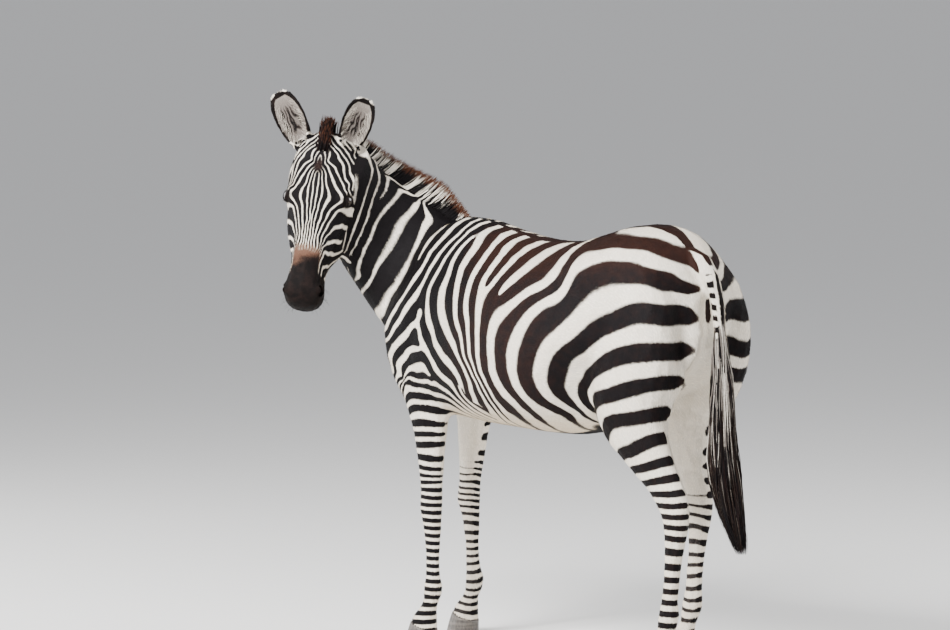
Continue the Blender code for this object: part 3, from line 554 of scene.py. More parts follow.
def faceMarks(points, normals):
    down, left, out = headPlaces(points)
    turn = headTurn(left, out)
    turn = np.abs(turn - faceLook["middle"] * rise(-np.abs(turn), -50, -20))
    spots = np.stack([turn * faceLook["perDegree"], down], 1)
    spots += 0.0007 * np.stack([ripple(points, 0.030, 8), ripple(points, 0.030, 18)], 1)
    count = faceCount(spots)
    share = np.full(len(points), faceLook["darkShare"])
    share -= 0.14 * rise(down, 0.24, 0.33) * rise(-turn, -26, -16)
    share += 0.01 * rise(turn, 30, 50)
    low = down + 0.004 * ripple(points, 0.05, 9) + 0.003 * ripple(points, 0.018, 19)
    nose = rise(-turn, -38, -26)
    dusk = np.clip((low + 0.45 * np.clip(left, -0.03, 0.04) - 0.346) / 0.072, 0, 1)  # sooner on its left
    muzzle = rise(down, 0.418, 0.440)
    muzzle = muzzle + (dusk - muzzle) * nose
    eye = np.exp(-(((down - 0.190) / 0.022) ** 2 + ((turn - 58) / 14) ** 2) ** 2)
    whorl = np.exp(-((down - 0.098) / 0.026) ** 2 - (turn / 9) ** 2)
    faded = nose * rise(low, 0.340, 0.372)
    return {
        "band": np.cos(2 * math.pi * count) * (1 - 0.3 * whorl) * (1 - faded) + 0.3 * whorl - faded,
        "edge": np.cos(math.pi * share),
        "warm": np.clip(0.12 + 0.5 * whorl, 0, 1),
        "cream": 0.2 + 0.5 * faded,
        "soot": np.clip(muzzle + eye, 0, 1),
        "ash": 0.2 * whorl + 0.25 * faded,
        "snout": nose * rise(low, 0.330, 0.368),
    }


earShape = {
    "place": (0.030, 0.056, -0.058),  # of the root: down, to its side, out
    "left": (0.172, 0.27),  # length, lean outwards
    "right": (0.194, 0.66),
    "near": 0.07,  # how far its coat reaches from its middle line
    "fuller": [(0.45, 0), (0.62, 0.05), (0.75, 0.16), (0.87, 0.38), (0.95, 0.75), (1.0, 1.1)],
    "rows": [  # along the ear, half width, depth of the cup, half angle of its wall
        (0.06, 0.027, 0.027, 155), (0.20, 0.034, 0.029, 132), (0.36, 0.040, 0.027, 108),
        (0.54, 0.043, 0.022, 92), (0.72, 0.038, 0.016, 84), (0.86, 0.027, 0.010, 78),
        (0.95, 0.015, 0.006, 72), (1.00, 0.006, 0.003, 70)],
}


def earDirections(side):
    hand = sides[side]
    length, splay = earShape[side]
    axis = unit(browWay * 0.34 - noseWay * 0.92 + sideWay * (splay * hand))
    face = browWay + sideWay * (0.30 * hand)
    face = unit(face - axis * (face @ axis))
    down, left, out = earShape["place"]
    return headPoint(down, left * hand, out), axis, face, length


def earReach(points, side):  # share of the ear's length, and whether the point is on that ear
    root, axis, face, length = earDirections(side)
    tall = (points - root) @ axis
    off = np.linalg.norm(points - root - np.outer(tall, axis), axis=1)
    return tall / length, off < earShape["near"]


def earPlaces(points, side):  # along the ear, round its cup to the edge, outwards, and how far out
    root, axis, face, length = earDirections(side)
    rows = np.array(earShape["rows"])
    along = (points - root) @ axis / length
    half, cup, wall = (np.interp(along, rows[:, 0], rows[:, i]) for i in (1, 2, 3))
    away = points - root - np.outer(along * length, axis) - np.outer(cup * 0.55, face)
    around = np.degrees(np.arctan2(np.abs(away @ np.cross(axis, face)) / half, -(away @ face) / cup)) / wall
    return along, around, unit(away), np.linalg.norm(away, axis=1)


def earMarks(points, normals, values):
    for side in sides:
        along, around, outward, off = earPlaces(points, side)
        mask = rise(along, 0.16, 0.24) * (off < 0.060)
        inner = rise(-(normals * outward).sum(1), -0.15, 0.25)
        rim = rise(around, 0.77, 0.84)
        tip = rise(along, 0.92, 0.97) * (1 - inner)
        dark = (1 - inner) * rise(along, 0.50, 0.58) * (1 - tip)
        rim = np.maximum(rim, rise(along, 0.90, 0.93)) * (1 - tip) * rise(along, 0.18, 0.30)
        dark = np.maximum(dark, rim)
        dark = np.maximum(dark, (1 - inner) * rise(along, 0.20, 0.24) * rise(-along, -0.36, -0.32))
        streak = 0.5 + 0.5 * np.cos(34 * around + 9 * along + 2.0 * ripple(points, 0.03, 31))
        hollow = inner * rise(-around, -0.74, -0.30) * rise(along, 0.20, 0.40) * rise(-along, -0.90, -0.66)
        own = {"soot": np.maximum(dark, hollow * (0.34 + 0.40 * streak)),
               "ash": inner * (0.72 + 0.28 * hollow), "edge": 1.7, "warm": 0.2, "cream": 0}
        for name, rows in own.items():
            values[name] = values[name] * (1 - mask) + mask * rows


def roundedEars(points):  # fuller towards their tips
    for side in sides:
        root, axis, face, length = earDirections(side)
        across = np.cross(axis, face)
        along, near = earReach(points, side)
        fuller = np.interp(along, *zip(*earShape["fuller"])) * near
        points = points + np.outer(((points - root) @ across) * fuller, across)
    return points


headPlane = {
    "behindPoll": (-0.638, 0.006, 1.460),
    "throat": (-0.638, -0.134, 1.120),
    "across": (0.92, -0.38, 0),
}


def onHead(points):  # distance in front of the plane behind the jaw
    behind, throat, across = (np.array(headPlane[k]) for k in ("behindPoll", "throat", "across"))
    normal = unit(np.cross(throat - behind, across))
    if normal @ (eyeMiddle - behind) < 0:
        normal = -normal
    return (points - behind) @ normal


def inHead(points):  # whether a point is on the head
    return (onHead(points) > 0) & (points[:, 2] > 0.9) & (points[:, 0] < -0.3)


def coatMarks(points, normals):
    values, along, left = bodyMarks(points, normals)
    down, aside, out = headPlaces(points)
    limits = np.array(faceLook["neckFrom"])
    turn = np.abs(headTurn(aside, out))
    head = (turn < np.interp(down, limits[:, 0], limits[:, 1])) | (down > 0.30)
    head &= (onHead(points) > -0.02) & (points[:, 2] > 0.95) & (points[:, 0] < -0.3) & (down < 0.60)
    for side in sides:
        reach, near = earReach(points, side)
        head |= (reach > 0.2) & near
    face = faceMarks(points[head], normals[head])
    earMarks(points[head], normals[head], face)
    for name, rows in values.items():
        rows = rows.astype(float)
        rows[head] = face[name]
        values[name] = rows
    return values


# hide: one skin over trunk, neck, head, legs, ears and tail root
hideShape = {
    "voxel": 0.0042,  # size of the skin's faces
    "swell": 0.0012,  # closes the cuts between the solids
    "eyeSwell": 0.002,
    "bodyCoat": 0.0035,
    "headCoat": 0.0022,
    "legCoat": 0.0020,
    "easing": 26,  # rounds of smoothing
    "nodes": ["trunk", "neck", "head", "leg_front_left", "leg_front_right", "leg_hind_left",
              "leg_hind_right", "tail_dock", "ear_left", "ear_right", "eye_left", "eye_right"],
}


def joinedHide():
    form = bmesh.new()
    for name in hideShape["nodes"]:
        part = welded(name)
        if name.startswith("ear"):
            bmesh.ops.subdivide_edges(part, edges=part.edges, cuts=2, use_grid_fill=True, smooth=0.6)
        part.normal_update()
        grow = hideShape["swell"] + (hideShape["eyeSwell"] if name.startswith("eye") else 0)
        for vert in part.verts:
            vert.co += vert.normal * grow
        mesh = bpy.data.meshes.new("part")
        part.to_mesh(mesh)
        part.free()
        form.from_mesh(mesh)
        bpy.data.meshes.remove(mesh)
    return fused("skin", form, hideShape["voxel"])


def finerHead(thing):  # the face gets four times the faces
    form = bmesh.new()
    form.from_mesh(thing.data)
    spots = np.array([vert.co for vert in form.verts])
    fine = inHead(spots)
    edges = [edge for edge in form.edges if fine[edge.verts[0].index] and fine[edge.verts[1].index]]
    bmesh.ops.subdivide_edges(form, edges=edges, cuts=1, use_grid_fill=True)
    form.to_mesh(thing.data)
    form.free()


def pushed(points, centre, radii, axes, push):
    away = (points - centre) @ np.array(axes).T / np.array(radii)
    share = np.clip(1 - (away ** 2).sum(1), 0, 1) ** 2
    return points + share[:, None] * push


bodyForms = [  # place on the left side (x, out from the middle, z), half sizes, push out, push x, push z
    ((-0.40, 0.165, 0.98), (0.05, 0.08, 0.16), 0.010, 0, 0),
    ((-0.28, 0.18, 0.93), (0.05, 0.10, 0.12), -0.008, 0, 0),
    ((-0.36, 0.17, 0.83), (0.07, 0.08, 0.07), 0.008, 0.004, 0),
    ((-0.44, 0.12, 0.78), (0.04, 0.06, 0.08), 0.004, -0.006, 0),
    ((0.31, 0.20, 0.74), (0.05, 0.10, 0.10), -0.010, 0.006, 0.006),
    ((0.42, 0.24, 0.98), (0.12, 0.10, 0.12), 0.008, 0, 0),
    ((0.33, 0.22, 1.20), (0.06, 0.08, 0.05), 0.006, 0, 0),
    ((0.56, 0.17, 0.86), (0.05, 0.08, 0.10), -0.006, 0, 0),
    ((0.47, 0.20, 0.66), (0.05, 0.08, 0.07), 0.006, 0, 0),
]


def muscled(points):
    for (x, out, z), radii, push, ahead, lift in bodyForms:
        for hand in (-1, 1):
            centre = np.array((x, middleY + hand * out, z))
            points = pushed(points, centre, radii, np.eye(3), np.array((ahead, hand * push, lift)))
    return points


haunchShape = {
    "push": [(0.70, 0), (0.78, 0.030), (0.85, 0.060), (0.92, 0.038), (1.00, 0.016), (1.08, 0.006), (1.14, 0)],
    "place": [(0.76, 0.085), (0.85, 0.066), (0.92, 0.056), (1.00, 0.050), (1.10, 0.045)],
    "width": 0.034,
}


def haunched(points):  # the haunches round in towards the tail
    up, aside = points[:, 2], np.abs(points[:, 1] - middleY)
    reach, place = (np.interp(up, *zip(*haunchShape[k])) for k in ("push", "place"))
    push = reach * np.exp(-((aside - place) / haunchShape["width"]) ** 2) * rise(points[:, 0], 0.40, 0.54)
    push *= rise(np.hypot(points[:, 0] - 0.735, aside), 0.030, 0.045)
    return points + push[:, None] * (1, 0, 0)


eyeShape = {
    "radius": 0.0195,
    "halfWidth": 0.0175,
    "halfHeight": 0.0112,
    "lid": 0.0028,
    "folds": [(1.65, -0.0012), (1.22, 0.0012)],  # in lid widths from its middle, and how far out
    "reach": 0.016,  # of the lids round the ball
    "iris": 0.0135,
    "pupil": (0.0085, 0.0042),
    "tilt": 24,  # degrees that the slit slants
}


def eyeDirections(side):
    hand = sides[side]
    gaze = unit(sideWay * hand * 0.86 + browWay * 0.50 - noseWay * 0.02)
    slit = unit(noseWay - gaze * (noseWay @ gaze))
    upper = np.cross(gaze, slit)
    if upper @ browWay < 0:
        upper = -upper
    tilt = math.radians(eyeShape["tilt"])
    turned = slit * math.cos(tilt) - upper * math.sin(tilt)
    lifted = upper * math.cos(tilt) + slit * math.sin(tilt)
    return middleOf("eye_" + side), gaze, turned, lifted


def almond(across, height):  # 1 on the lids' edge, less inside
    top = eyeShape["halfHeight"] * (1 - 0.18 * across / eyeShape["halfWidth"])
    return np.sqrt((across / eyeShape["halfWidth"]) ** 2 + (height / top) ** 2)


def lidded(points):
    for side in sides:
        centre, gaze, slit, upper = eyeDirections(side)
        away = points - centre
        far = np.linalg.norm(away, axis=1)
        ahead = away @ gaze
        ring = almond(away @ slit, away @ upper)
        radius = eyeShape["radius"]
        near = (far < radius + eyeShape["reach"]) & (ahead > 0.2 * radius)
        cover = radius + eyeShape["lid"]
        for place, push in eyeShape["folds"]:
            cover = cover + push * np.exp(-((ring - place) / 0.16) ** 2)
        hide = rise(-ring, -1.06, -0.96)
        wanted = cover * (1 - hide) + (radius - 0.005) * hide
        hold = rise(-far, -(radius + 0.014), -(radius + 0.006)) * rise(ahead / radius, 0.2, 0.5)
        hold *= rise(-ring, -2.3, -1.7)
        hold = np.where(near, hold, 0)
        points = points + (away / far[:, None]) * ((wanted - far) * hold)[:, None]
    return points


def grooved(points, path, width, push):  # pushed in along a line on the head, and along its mirror
    for hand in (1, -1):
        line = np.array([headPoint(d, l * hand, o) for d, l, o in path])
        line = curveThrough(line, 6)
        best = np.full(len(points), 9.0)
        for start, end in zip(line[:-1], line[1:]):
            step = end - start
            share = np.clip((points - start) @ step / (step @ step), 0, 1)
            best = np.minimum(best, np.linalg.norm(points - start - share[:, None] * step, axis=1))
        strength = np.exp(-(best / width) ** 2)
        inward = headPoint(0, 0, -0.075) - points
        inward = unit(inward - np.outer(inward @ noseWay, noseWay))
        points = points + inward * (push * strength)[:, None]
    return points


faceLines = {  # width, push inwards, then places: down the nose, to the side, out of the forehead
    "cheek": (0.009, -0.0035, [(0.240, 0.086, -0.062), (0.270, 0.080, -0.060), (0.310, 0.068, -0.056),
                               (0.350, 0.056, -0.050)]),
    "jaw": (0.014, 0.0030, [(0.150, 0.085, -0.135), (0.200, 0.080, -0.215), (0.260, 0.078, -0.205),
                            (0.300, 0.074, -0.160), (0.292, 0.080, -0.110)]),
    "mouth": (0.0032, 0.0042, [(0.512, 0.000, -0.088), (0.505, 0.026, -0.088), (0.482, 0.046, -0.092),
                               (0.455, 0.050, -0.097), (0.425, 0.050, -0.100)]),
}
nostril = {"rim": (0.474, 0.049, -0.044), "pit": 0.002, "flare": 0.006, "deep": 0.016}


def faced(points):
    for width, push, path in faceLines.values():
        points = grooved(points, path, width, push)
    for hand in (1, -1):
        down, aside, out = nostril["rim"]
        rim = headPoint(down, aside * hand, out)
        outward = unit(sideWay * hand * 0.8 + browWay * 0.6)
        axes = (noseWay, outward, np.cross(noseWay, outward))
        points = pushed(points, rim, (0.030, 0.040, 0.026), axes, outward * nostril["flare"])
        pit = rim + noseWay * nostril["pit"]
        away = (points - pit) @ np.array(axes).T
        curl = away[:, 2] + 0.35 * away[:, 0] - 38 * away[:, 0] ** 2
        ring = np.hypot(away[:, 0] / 0.0155, curl / (0.0062 + 0.12 * np.clip(away[:, 0], -0.01, 0.02)))
        close = np.abs(away[:, 1]) < 0.03
        deep = rise(-ring, -1.15, -0.55) * close
        points = points + (-outward * nostril["deep"] + noseWay * -0.004) * deep[:, None]
    return points


skin = joinedHide()
print("hide fused:", len(skin.data.polygons), "faces")
finerHead(skin)
points = pointsOf(skin)
edges = edgesOf(skin)
ears = np.zeros(len(points))
for side in sides:
    along, near = earReach(points, side)
    ears = np.maximum(ears, rise(along, 0.10, 0.30) * near)
lowLegs = rise(-points[:, 2], -0.62, -0.50)
calm = (1 - 0.6 * ears) * (1 - 0.5 * lowLegs)
points = eased(points, edges, hideShape["easing"], 0.6, -0.62, calm[:, None])
points = haunched(muscled(points))
points = eased(points, edges, 6, 0.6, -0.62, (0.3 + 0.7 * (points[:, :1] > 0.3)))
points = roundedEars(lidded(faced(points)))
setPoints(skin, points)
normals = normalsOf(skin)
depth = np.where(inHead(points), hideShape["headCoat"], hideShape["bodyCoat"])
depth = depth + (hideShape["legCoat"] - depth) * lowLegs
nearEye = np.zeros(len(points))
for side in sides:
    far = np.linalg.norm(points - middleOf("eye_" + side), axis=1)
    nearEye = np.maximum(nearEye, rise(-far, -0.045, -0.030))
depth = depth * (1 - nearEye) * (1 - 0.8 * ears) + hideShape["swell"] * (1 - nearEye)
points = points - normals * depth[:, None]
points[:, 2] = np.maximum(points[:, 2], 0.002)
setPoints(skin, eased(points, edges, 2, 0.5, -0.5, (1 - nearEye)[:, None]))
print("hide shaped:", len(skin.data.vertices), "points")


# how the hair lies
def layOf(points, normals, head):
    along, left = straightened(points)
    up = points[:, 2]
    lay = np.tile((1.0, 0.0, -0.20), (len(points), 1))
    lay[:, 2] -= 0.9 * rise(along, 0.40, 0.70)
    neckWay = -np.gradient(neckCurve[:, :3], axis=0)
    neckLay = np.stack([np.interp(-along, -neckAlong, neckWay[:, i]) for i in range(3)], 1)
    neckLay = unit(neckLay) + (0, 0, -0.30)
    lay += (neckLay - lay) * rise(-along, 0.36, 0.52)[:, None]
    belly = rise(-normals[:, 2], 0.30, 0.80) * rise(up, 0.60, 0.66) * (np.abs(points[:, 0]) < 0.33)
    legs = rise(-up, -0.88, -0.66) * (1 - belly)
    lay += (np.array((0.12, 0.0, -1.0)) - lay) * legs[:, None]
    down, aside, out = headPlaces(points)
    turn = headTurn(aside, out)
    below = rise(down, 0.060, 0.105)
    faceLay = np.outer(2 * below - 1, noseWay) + np.outer(0.5 * np.sign(turn) * (1 - below), sideWay)
    faceLay -= np.outer(0.7 * rise(np.abs(turn), 55, 85) * rise(-down, -0.36, -0.28), browWay)
    lay += (faceLay - lay) * head[:, None]
    for side in sides:
        reach, near = earReach(points, side)
        lay += (earDirections(side)[1] - lay) * (rise(reach, 0.0, 0.15) * near)[:, None]
    return unit(lay - normals * (lay * normals).sum(1)[:, None] + 1e-9)


skinPoints, skinNormals = pointsOf(skin), normalsOf(skin)
skinMarks = coatMarks(skinPoints, skinNormals)
headShare = rise(onHead(skinPoints), 0.0, 0.03) * inHead(skinPoints)
skinMarks["hang"] = np.abs(layOf(skinPoints, skinNormals, headShare)[:, 2])
setValues(skin, skinMarks)
skin.data.shade_smooth()


# materials
class Sock:  # a shader socket that takes part in expressions
    def __init__(self, graph, socket):
        self.graph = graph
        self.socket = socket

    def math(self, kind, *values):
        return self.graph.node("ShaderNodeMath", {"operation": kind}, dict(enumerate(values)))

    def __add__(self, other):
        return self.math("ADD", self, other)

    def __radd__(self, other):
        return self.math("ADD", other, self)

    def __sub__(self, other):
        return self.math("SUBTRACT", self, other)

    def __rsub__(self, other):
        return self.math("SUBTRACT", other, self)

    def __mul__(self, other):
        return self.math("MULTIPLY", self, other)

    def __rmul__(self, other):
        return self.math("MULTIPLY", other, self)


class Graph:  # the nodes of one material
    def __init__(self, name):
        self.material = bpy.data.materials.new(name)
        self.material.use_nodes = True
        self.tree = self.material.node_tree
        self.shader = self.tree.nodes["Principled BSDF"]

    def node(self, kind, settings, values, output=0):
        made = self.tree.nodes.new(kind)
        for name, value in settings.items():
            setattr(made, name, value)
        for name, value in values.items():
            self.put(made.inputs[name], value)
        return Sock(self, made.outputs[output])

    def put(self, socket, value):
        if isinstance(value, Sock):
            self.tree.links.new(value.socket, socket)
        elif isinstance(value, tuple) and socket.type == "RGBA":
            socket.default_value = (*value, 1)
        else:
            socket.default_value = value

    def value(self, name):
        return self.node("ShaderNodeAttribute", {"attribute_name": name}, {}, 2)

    def place(self, stretch):
        spot = self.node("ShaderNodeTexCoord", {}, {}, 3)
        return self.node("ShaderNodeMapping", {}, {"Vector": spot, "Scale": stretch})

    def noise(self, scale, detail=2.0, stretch=(1, 1, 1)):
        return self.node("ShaderNodeTexNoise", {}, {
            "Vector": self.place(stretch), "Scale": scale, "Detail": detail})

    def step(self, value, low, high, first=0.0, last=1.0):
        return self.node("ShaderNodeMapRange", {"interpolation_type": "SMOOTHSTEP"}, {
            "Value": value, "From Min": low, "From Max": high, "To Min": first, "To Max": last})

    def blend(self, share, first, second, kind="MIX"):
        return self.node("ShaderNodeMix", {"data_type": "RGBA", "blend_type": kind}, {
            0: share, 6: first, 7: second}, 2)

    def bump(self, height, distance, strength=1.0):
        return self.node("ShaderNodeBump", {}, {
            "Height": height, "Distance": distance, "Strength": strength})

    def finish(self, **values):
        for name, value in values.items():
            self.put(self.shader.inputs[name.replace("_", " ")], value)
        return self.material


coatColours = {
    "pale": (0.86, 0.80, 0.70),
    "cream": (0.78, 0.65, 0.47),
    "black": (0.0060, 0.0050, 0.0055),
    # black of the muzzle, eyes, ears, tail's root and the line under the belly; under the belly it is also
    # painted shade
    "brown": (0.027, 0.0110, 0.0078),
    "soot": (0.0048, 0.0036, 0.0034),
    "muzzle": (0.0120, 0.0072, 0.0062),
    # grey hair, and also painted shade on the sides that face between the legs
    "ash": (0.18, 0.155, 0.138),
    "snout": (0.135, 0.068, 0.044),
    "rust": (0.085, 0.031, 0.016),
    "tailEnd": (0.020, 0.0125, 0.0095),
    "furrow": (0.74, 0.72, 0.70),  # the skin is this much darker between its hairs
}


def coatMaterial(name, fuzz=0.30, tuft=False, tip=None):  # fuzz: how soft the stripes' edges are
    g = Graph(name)
    fine = g.noise(420, 3)
    flat = g.noise(900, 2, (0.25, 1, 1))
    hanging = g.noise(900, 2, (1, 1, 0.25))
    strand = flat + (hanging - flat) * g.value("hang")
    soft = g.noise(46, 3)
    edge = g.value("band") - g.value("edge") + (fine - 0.5) * (2.4 * fuzz) + (soft - 0.5) * 0.30
    dark = g.step(edge, -fuzz, fuzz)
    brown = g.step(g.value("warm") + (soft - 0.5) * 0.7 - edge * 0.10, 0.1, 1.0)
    deep = g.blend(brown, coatColours["black"], coatColours["brown"])
    cream = g.step(g.value("cream") + (soft - 0.5) * 0.5, 0, 1)
    light = g.blend(cream, coatColours["pale"], coatColours["cream"])
    colour = g.blend(dark, light, deep)
    # grey hair, and painted shade on the sides that face between the legs
    ash = g.step(g.value("ash") + (strand - 0.5) * 0.8, 0.2, 0.8)
    colour = g.blend(ash, colour, coatColours["ash"])
    snout = g.step(g.value("snout") + (fine - 0.5) * 0.6, 0.15, 0.95)
    colour = g.blend(snout, colour, coatColours["snout"])
    # the black marks, with painted shade under the belly among them
    soot = g.step(g.value("soot") + (fine - 0.5) * 0.5, 0.25, 0.75)
    sooty = g.blend(g.step(soft, 0.35, 0.75), coatColours["soot"], coatColours["muzzle"])
    colour = g.blend(soot, colour, sooty)
    if tip:
        colour = g.blend(g.step(g.value("tip") + (fine - 0.5) * 0.35, 0.55, 0.85), colour, coatColours[tip])
    if tuft:
        colour = g.blend(1.0, colour, g.value("shade"), "MULTIPLY")
    else:
        grain = g.blend(g.step(strand, 0.25, 0.75), coatColours["furrow"], (1.0, 1.0, 1.0))
        colour = g.blend(1.0, colour, grain, "MULTIPLY")
    values = {"Base_Color": colour, "Roughness": 0.60 + (strand - 0.5) * 0.2}
    if not tuft:
        values["Normal"] = g.bump(strand + fine * 0.6, 0.0012, 0.8)
    return g.finish(**values, Specular_IOR_Level=0.06)


skin.data.materials.clear()
skin.data.materials.append(coatMaterial("hide"))
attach(skin, "root")
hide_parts(*[n for n in hideShape["nodes"] if not n.startswith("eye")])
print("hide painted")


# eyes
def ball(name, centre, gaze, slit, upper, radius, rings=28, spokes=48):
    points = [centre + gaze * radius * 1.04]
    for i in range(1, rings + 1):
        tilt = math.pi * i / (rings + 1)
        for k in range(spokes):
            turn = 2 * math.pi * k / spokes
            out = radius * (1 + 0.04 * math.exp(-(tilt / 0.75) ** 2))
            way = gaze * math.cos(tilt) + (slit * math.cos(turn) + upper * math.sin(turn)) * math.sin(tilt)
            points.append(centre + way * out)
    points.append(centre - gaze * radius)
    faces = []
    for i in range(rings - 1):
        for k in range(spokes):
            a = 1 + i * spokes + k
            b = 1 + i * spokes + (k + 1) % spokes
            faces.append((a, b, b + spokes, a + spokes))
    form = bmesh.new()
    verts = [form.verts.new(p) for p in points]
    for face in faces:
        form.faces.new([verts[i] for i in face])
    for k in range(spokes):
        form.faces.new((verts[0], verts[1 + (k + 1) % spokes], verts[1 + k]))
        last = 1 + (rings - 1) * spokes
        form.faces.new((verts[-1], verts[last + k], verts[last + (k + 1) % spokes]))
    bmesh.ops.recalc_face_normals(form, faces=form.faces)
    mesh = bpy.data.meshes.new(name)
    form.to_mesh(mesh)
    form.free()
    mesh.shade_smooth()
    return addObject(name, mesh)


eyeColours = {
    "middle": (0.030, 0.013, 0.007),
    "edge": (0.010, 0.006, 0.005),
    "pupil": (0.002, 0.002, 0.003),
}


def eyeMaterial():
    g = Graph("eye")
    iris = g.value("iris")
    fibre = g.noise(260, 4)
    ring = g.step(iris + (fibre - 0.5) * 0.25, 0.35, 0.75)
    colour = g.blend(ring, eyeColours["middle"], eyeColours["edge"])
    colour = g.blend(g.value("pupil"), colour, eyeColours["pupil"])
    return g.finish(Base_Color=colour, Roughness=0.08, Coat_Weight=1.0, Coat_Roughness=0.02, IOR=1.38)


eyeGlass = eyeMaterial()
for side in sides:
    centre, gaze, slit, upper = eyeDirections(side)
    eye = ball("eyeball_" + side, centre, gaze, slit, upper, eyeShape["radius"])
    away = pointsOf(eye) - centre
    across, height = away @ slit, away @ upper
    ring = np.hypot(across, height) / eyeShape["iris"]
    wide, high = eyeShape["pupil"]
    pupil = rise(-np.hypot(across / wide, height / high), -1.15, -0.85) * (away @ gaze > 0)
    setValues(eye, {"iris": np.where(away @ gaze > 0, ring, 2), "pupil": pupil})
    eye.data.materials.append(eyeGlass)
    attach(eye, "root")
    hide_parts("eye_" + side)
print("eyes")


# hooves
hoofLook = {
    "dark": (0.030, 0.026, 0.024),
    "light": (0.105, 0.090, 0.078),
    "worn": (0.19, 0.165, 0.14),
    "ring": 0.00035,  # height of the growth rings
    "voxel": 0.002,
}


def hoofMaterial():
    g = Graph("hoof")
    rings = g.noise(60, 3, (0.15, 0.15, 2.2))
    fine = g.noise(500, 3, (1, 1, 0.15))
    colour = g.blend(g.step(rings, 0.3, 0.7), hoofLook["dark"], hoofLook["light"])
    colour = g.blend(g.step(fine, 0.35, 0.7, 0.0, 0.5), colour, hoofLook["worn"])
    return g.finish(Base_Color=colour, Roughness=0.42 + (fine - 0.5) * 0.3,
                    Normal=g.bump(rings * 1.5 + fine * 0.4, 0.0012))


horn = hoofMaterial()
for name in [n for n in nodes if n.startswith("hoof")]:
    hoof = fused(name.replace("hoof", "horn"), welded(name), hoofLook["voxel"])
    points = pointsOf(hoof)
    wall = rise(points[:, 2], 0.002, 0.006)[:, None]
    points = eased(points, edgesOf(hoof), 20, 0.6, -0.62, wall)
    out = unit((points - points.mean(0)) * (1, 1, 0))
    growth = np.sin(points[:, 2] * 900 + 1.5 * np.sin(points[:, 0] * 60))
    points += out * (hoofLook["ring"] * growth * rise(points[:, 2], 0.004, 0.012))[:, None]
    points[:, 2] = np.clip(points[:, 2], 0, None)
    setPoints(hoof, points)
    hoof.data.shade_smooth()
    hoof.data.materials.append(horn)
    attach(hoof, "root")
    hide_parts(name)
print("hooves")


# hair: tufts over the skin, and long locks
def roundShare(aside, out):  # 0 to 1 round a middle line
    return np.arctan2(aside, out) / 6.3 + 0.5


def unrolled(kind, points):  # place on the skin rolled out flat, 0 to 1 both ways
    along, left = straightened(points)
    up = points[:, 2]
    if kind == "head":
        down, aside, out = headPlaces(points)
        return np.stack([(down + 0.26) / 0.82, roundShare(aside, out + headPose["core"])], 1)
    if kind == "neck":
        middle = np.interp(-along, -neckAlong, neckCurve[:, 2])
        return np.stack([(-along - 0.15) / 0.85, roundShare(left, up - middle)], 1)
    if kind == "trunk":
        return np.stack([(points[:, 0] + 0.50) / 1.35, roundShare(left, up - 0.93)], 1)
    slot = (points[:, 1] > middleY).astype(int)  # the legs: left and right side by side
    levels = 30
    key = slot * levels + np.clip((up / 0.04).astype(int), 0, levels - 1)
    count = np.maximum(np.bincount(key, minlength=2 * levels), 1)
    middle = np.stack([np.bincount(key, points[:, i], 2 * levels) / count for i in (0, 1)], 1)[key]
    turn = roundShare(points[:, 1] - middle[:, 1], points[:, 0] - middle[:, 0])
    return np.stack([up / 1.2, 0.5 * slot + 0.48 * turn], 1)


def setBakeMap(thing, spots):  # a place for each point
    mesh = thing.data
    corners = np.zeros(len(mesh.loops), np.int32)
    mesh.loops.foreach_get("vertex_index", corners)
    layer = mesh.uv_layers.new(name="OFBake")
    layer.uv.foreach_set("vector", np.clip(spots, 0, 1)[corners].astype(np.float32).ravel())


tuftShape = {  # of each kind: how far apart, how long, how wide
    "body": (0.0050, 0.0115, 0.00085),
    "neck": (0.0047, 0.0115, 0.00080),
    "leg": (0.0041, 0.0075, 0.00070),
    "head": (0.0029, 0.0055, 0.00050),
    "patch": 0.003,  # size of a tuft on the rolled-out skin
    "swing": 0.16,  # how far it strays from the lie of the coat
    "lift": (0.10, 0.18),  # share of its length that it stands up
    "eyeBare": 0.032,  # no tufts this near to an eye
    "nostrilBare": 0.013,
}


def skinRoots(pick, spacing, rng):  # places spread evenly over the picked faces
    corners = skinFaces[pick]
    a, b, c = (skinPoints[corners[:, i]] for i in range(3))
    area = np.linalg.norm(np.cross(b - a, c - a), axis=1) / 2
    total = np.cumsum(area)
    count = int(total[-1] / spacing ** 2)
    row = np.searchsorted(total, (np.arange(count) + rng.uniform(0, 1, count)) / count * total[-1])
    row = np.clip(row, 0, len(corners) - 1)
    u, v = rng.uniform(0, 1, (2, count))
    u, v = np.where(u + v > 1, 1 - u, u), np.where(u + v > 1, 1 - v, v)
    weight = np.stack([1 - u - v, u, v], 1)
    return corners[row], weight


def mixed(rows, corners, weight):
    if rows.ndim == 1:
        return (rows[corners] * weight).sum(1)
    return (rows[corners] * weight[:, :, None]).sum(1)


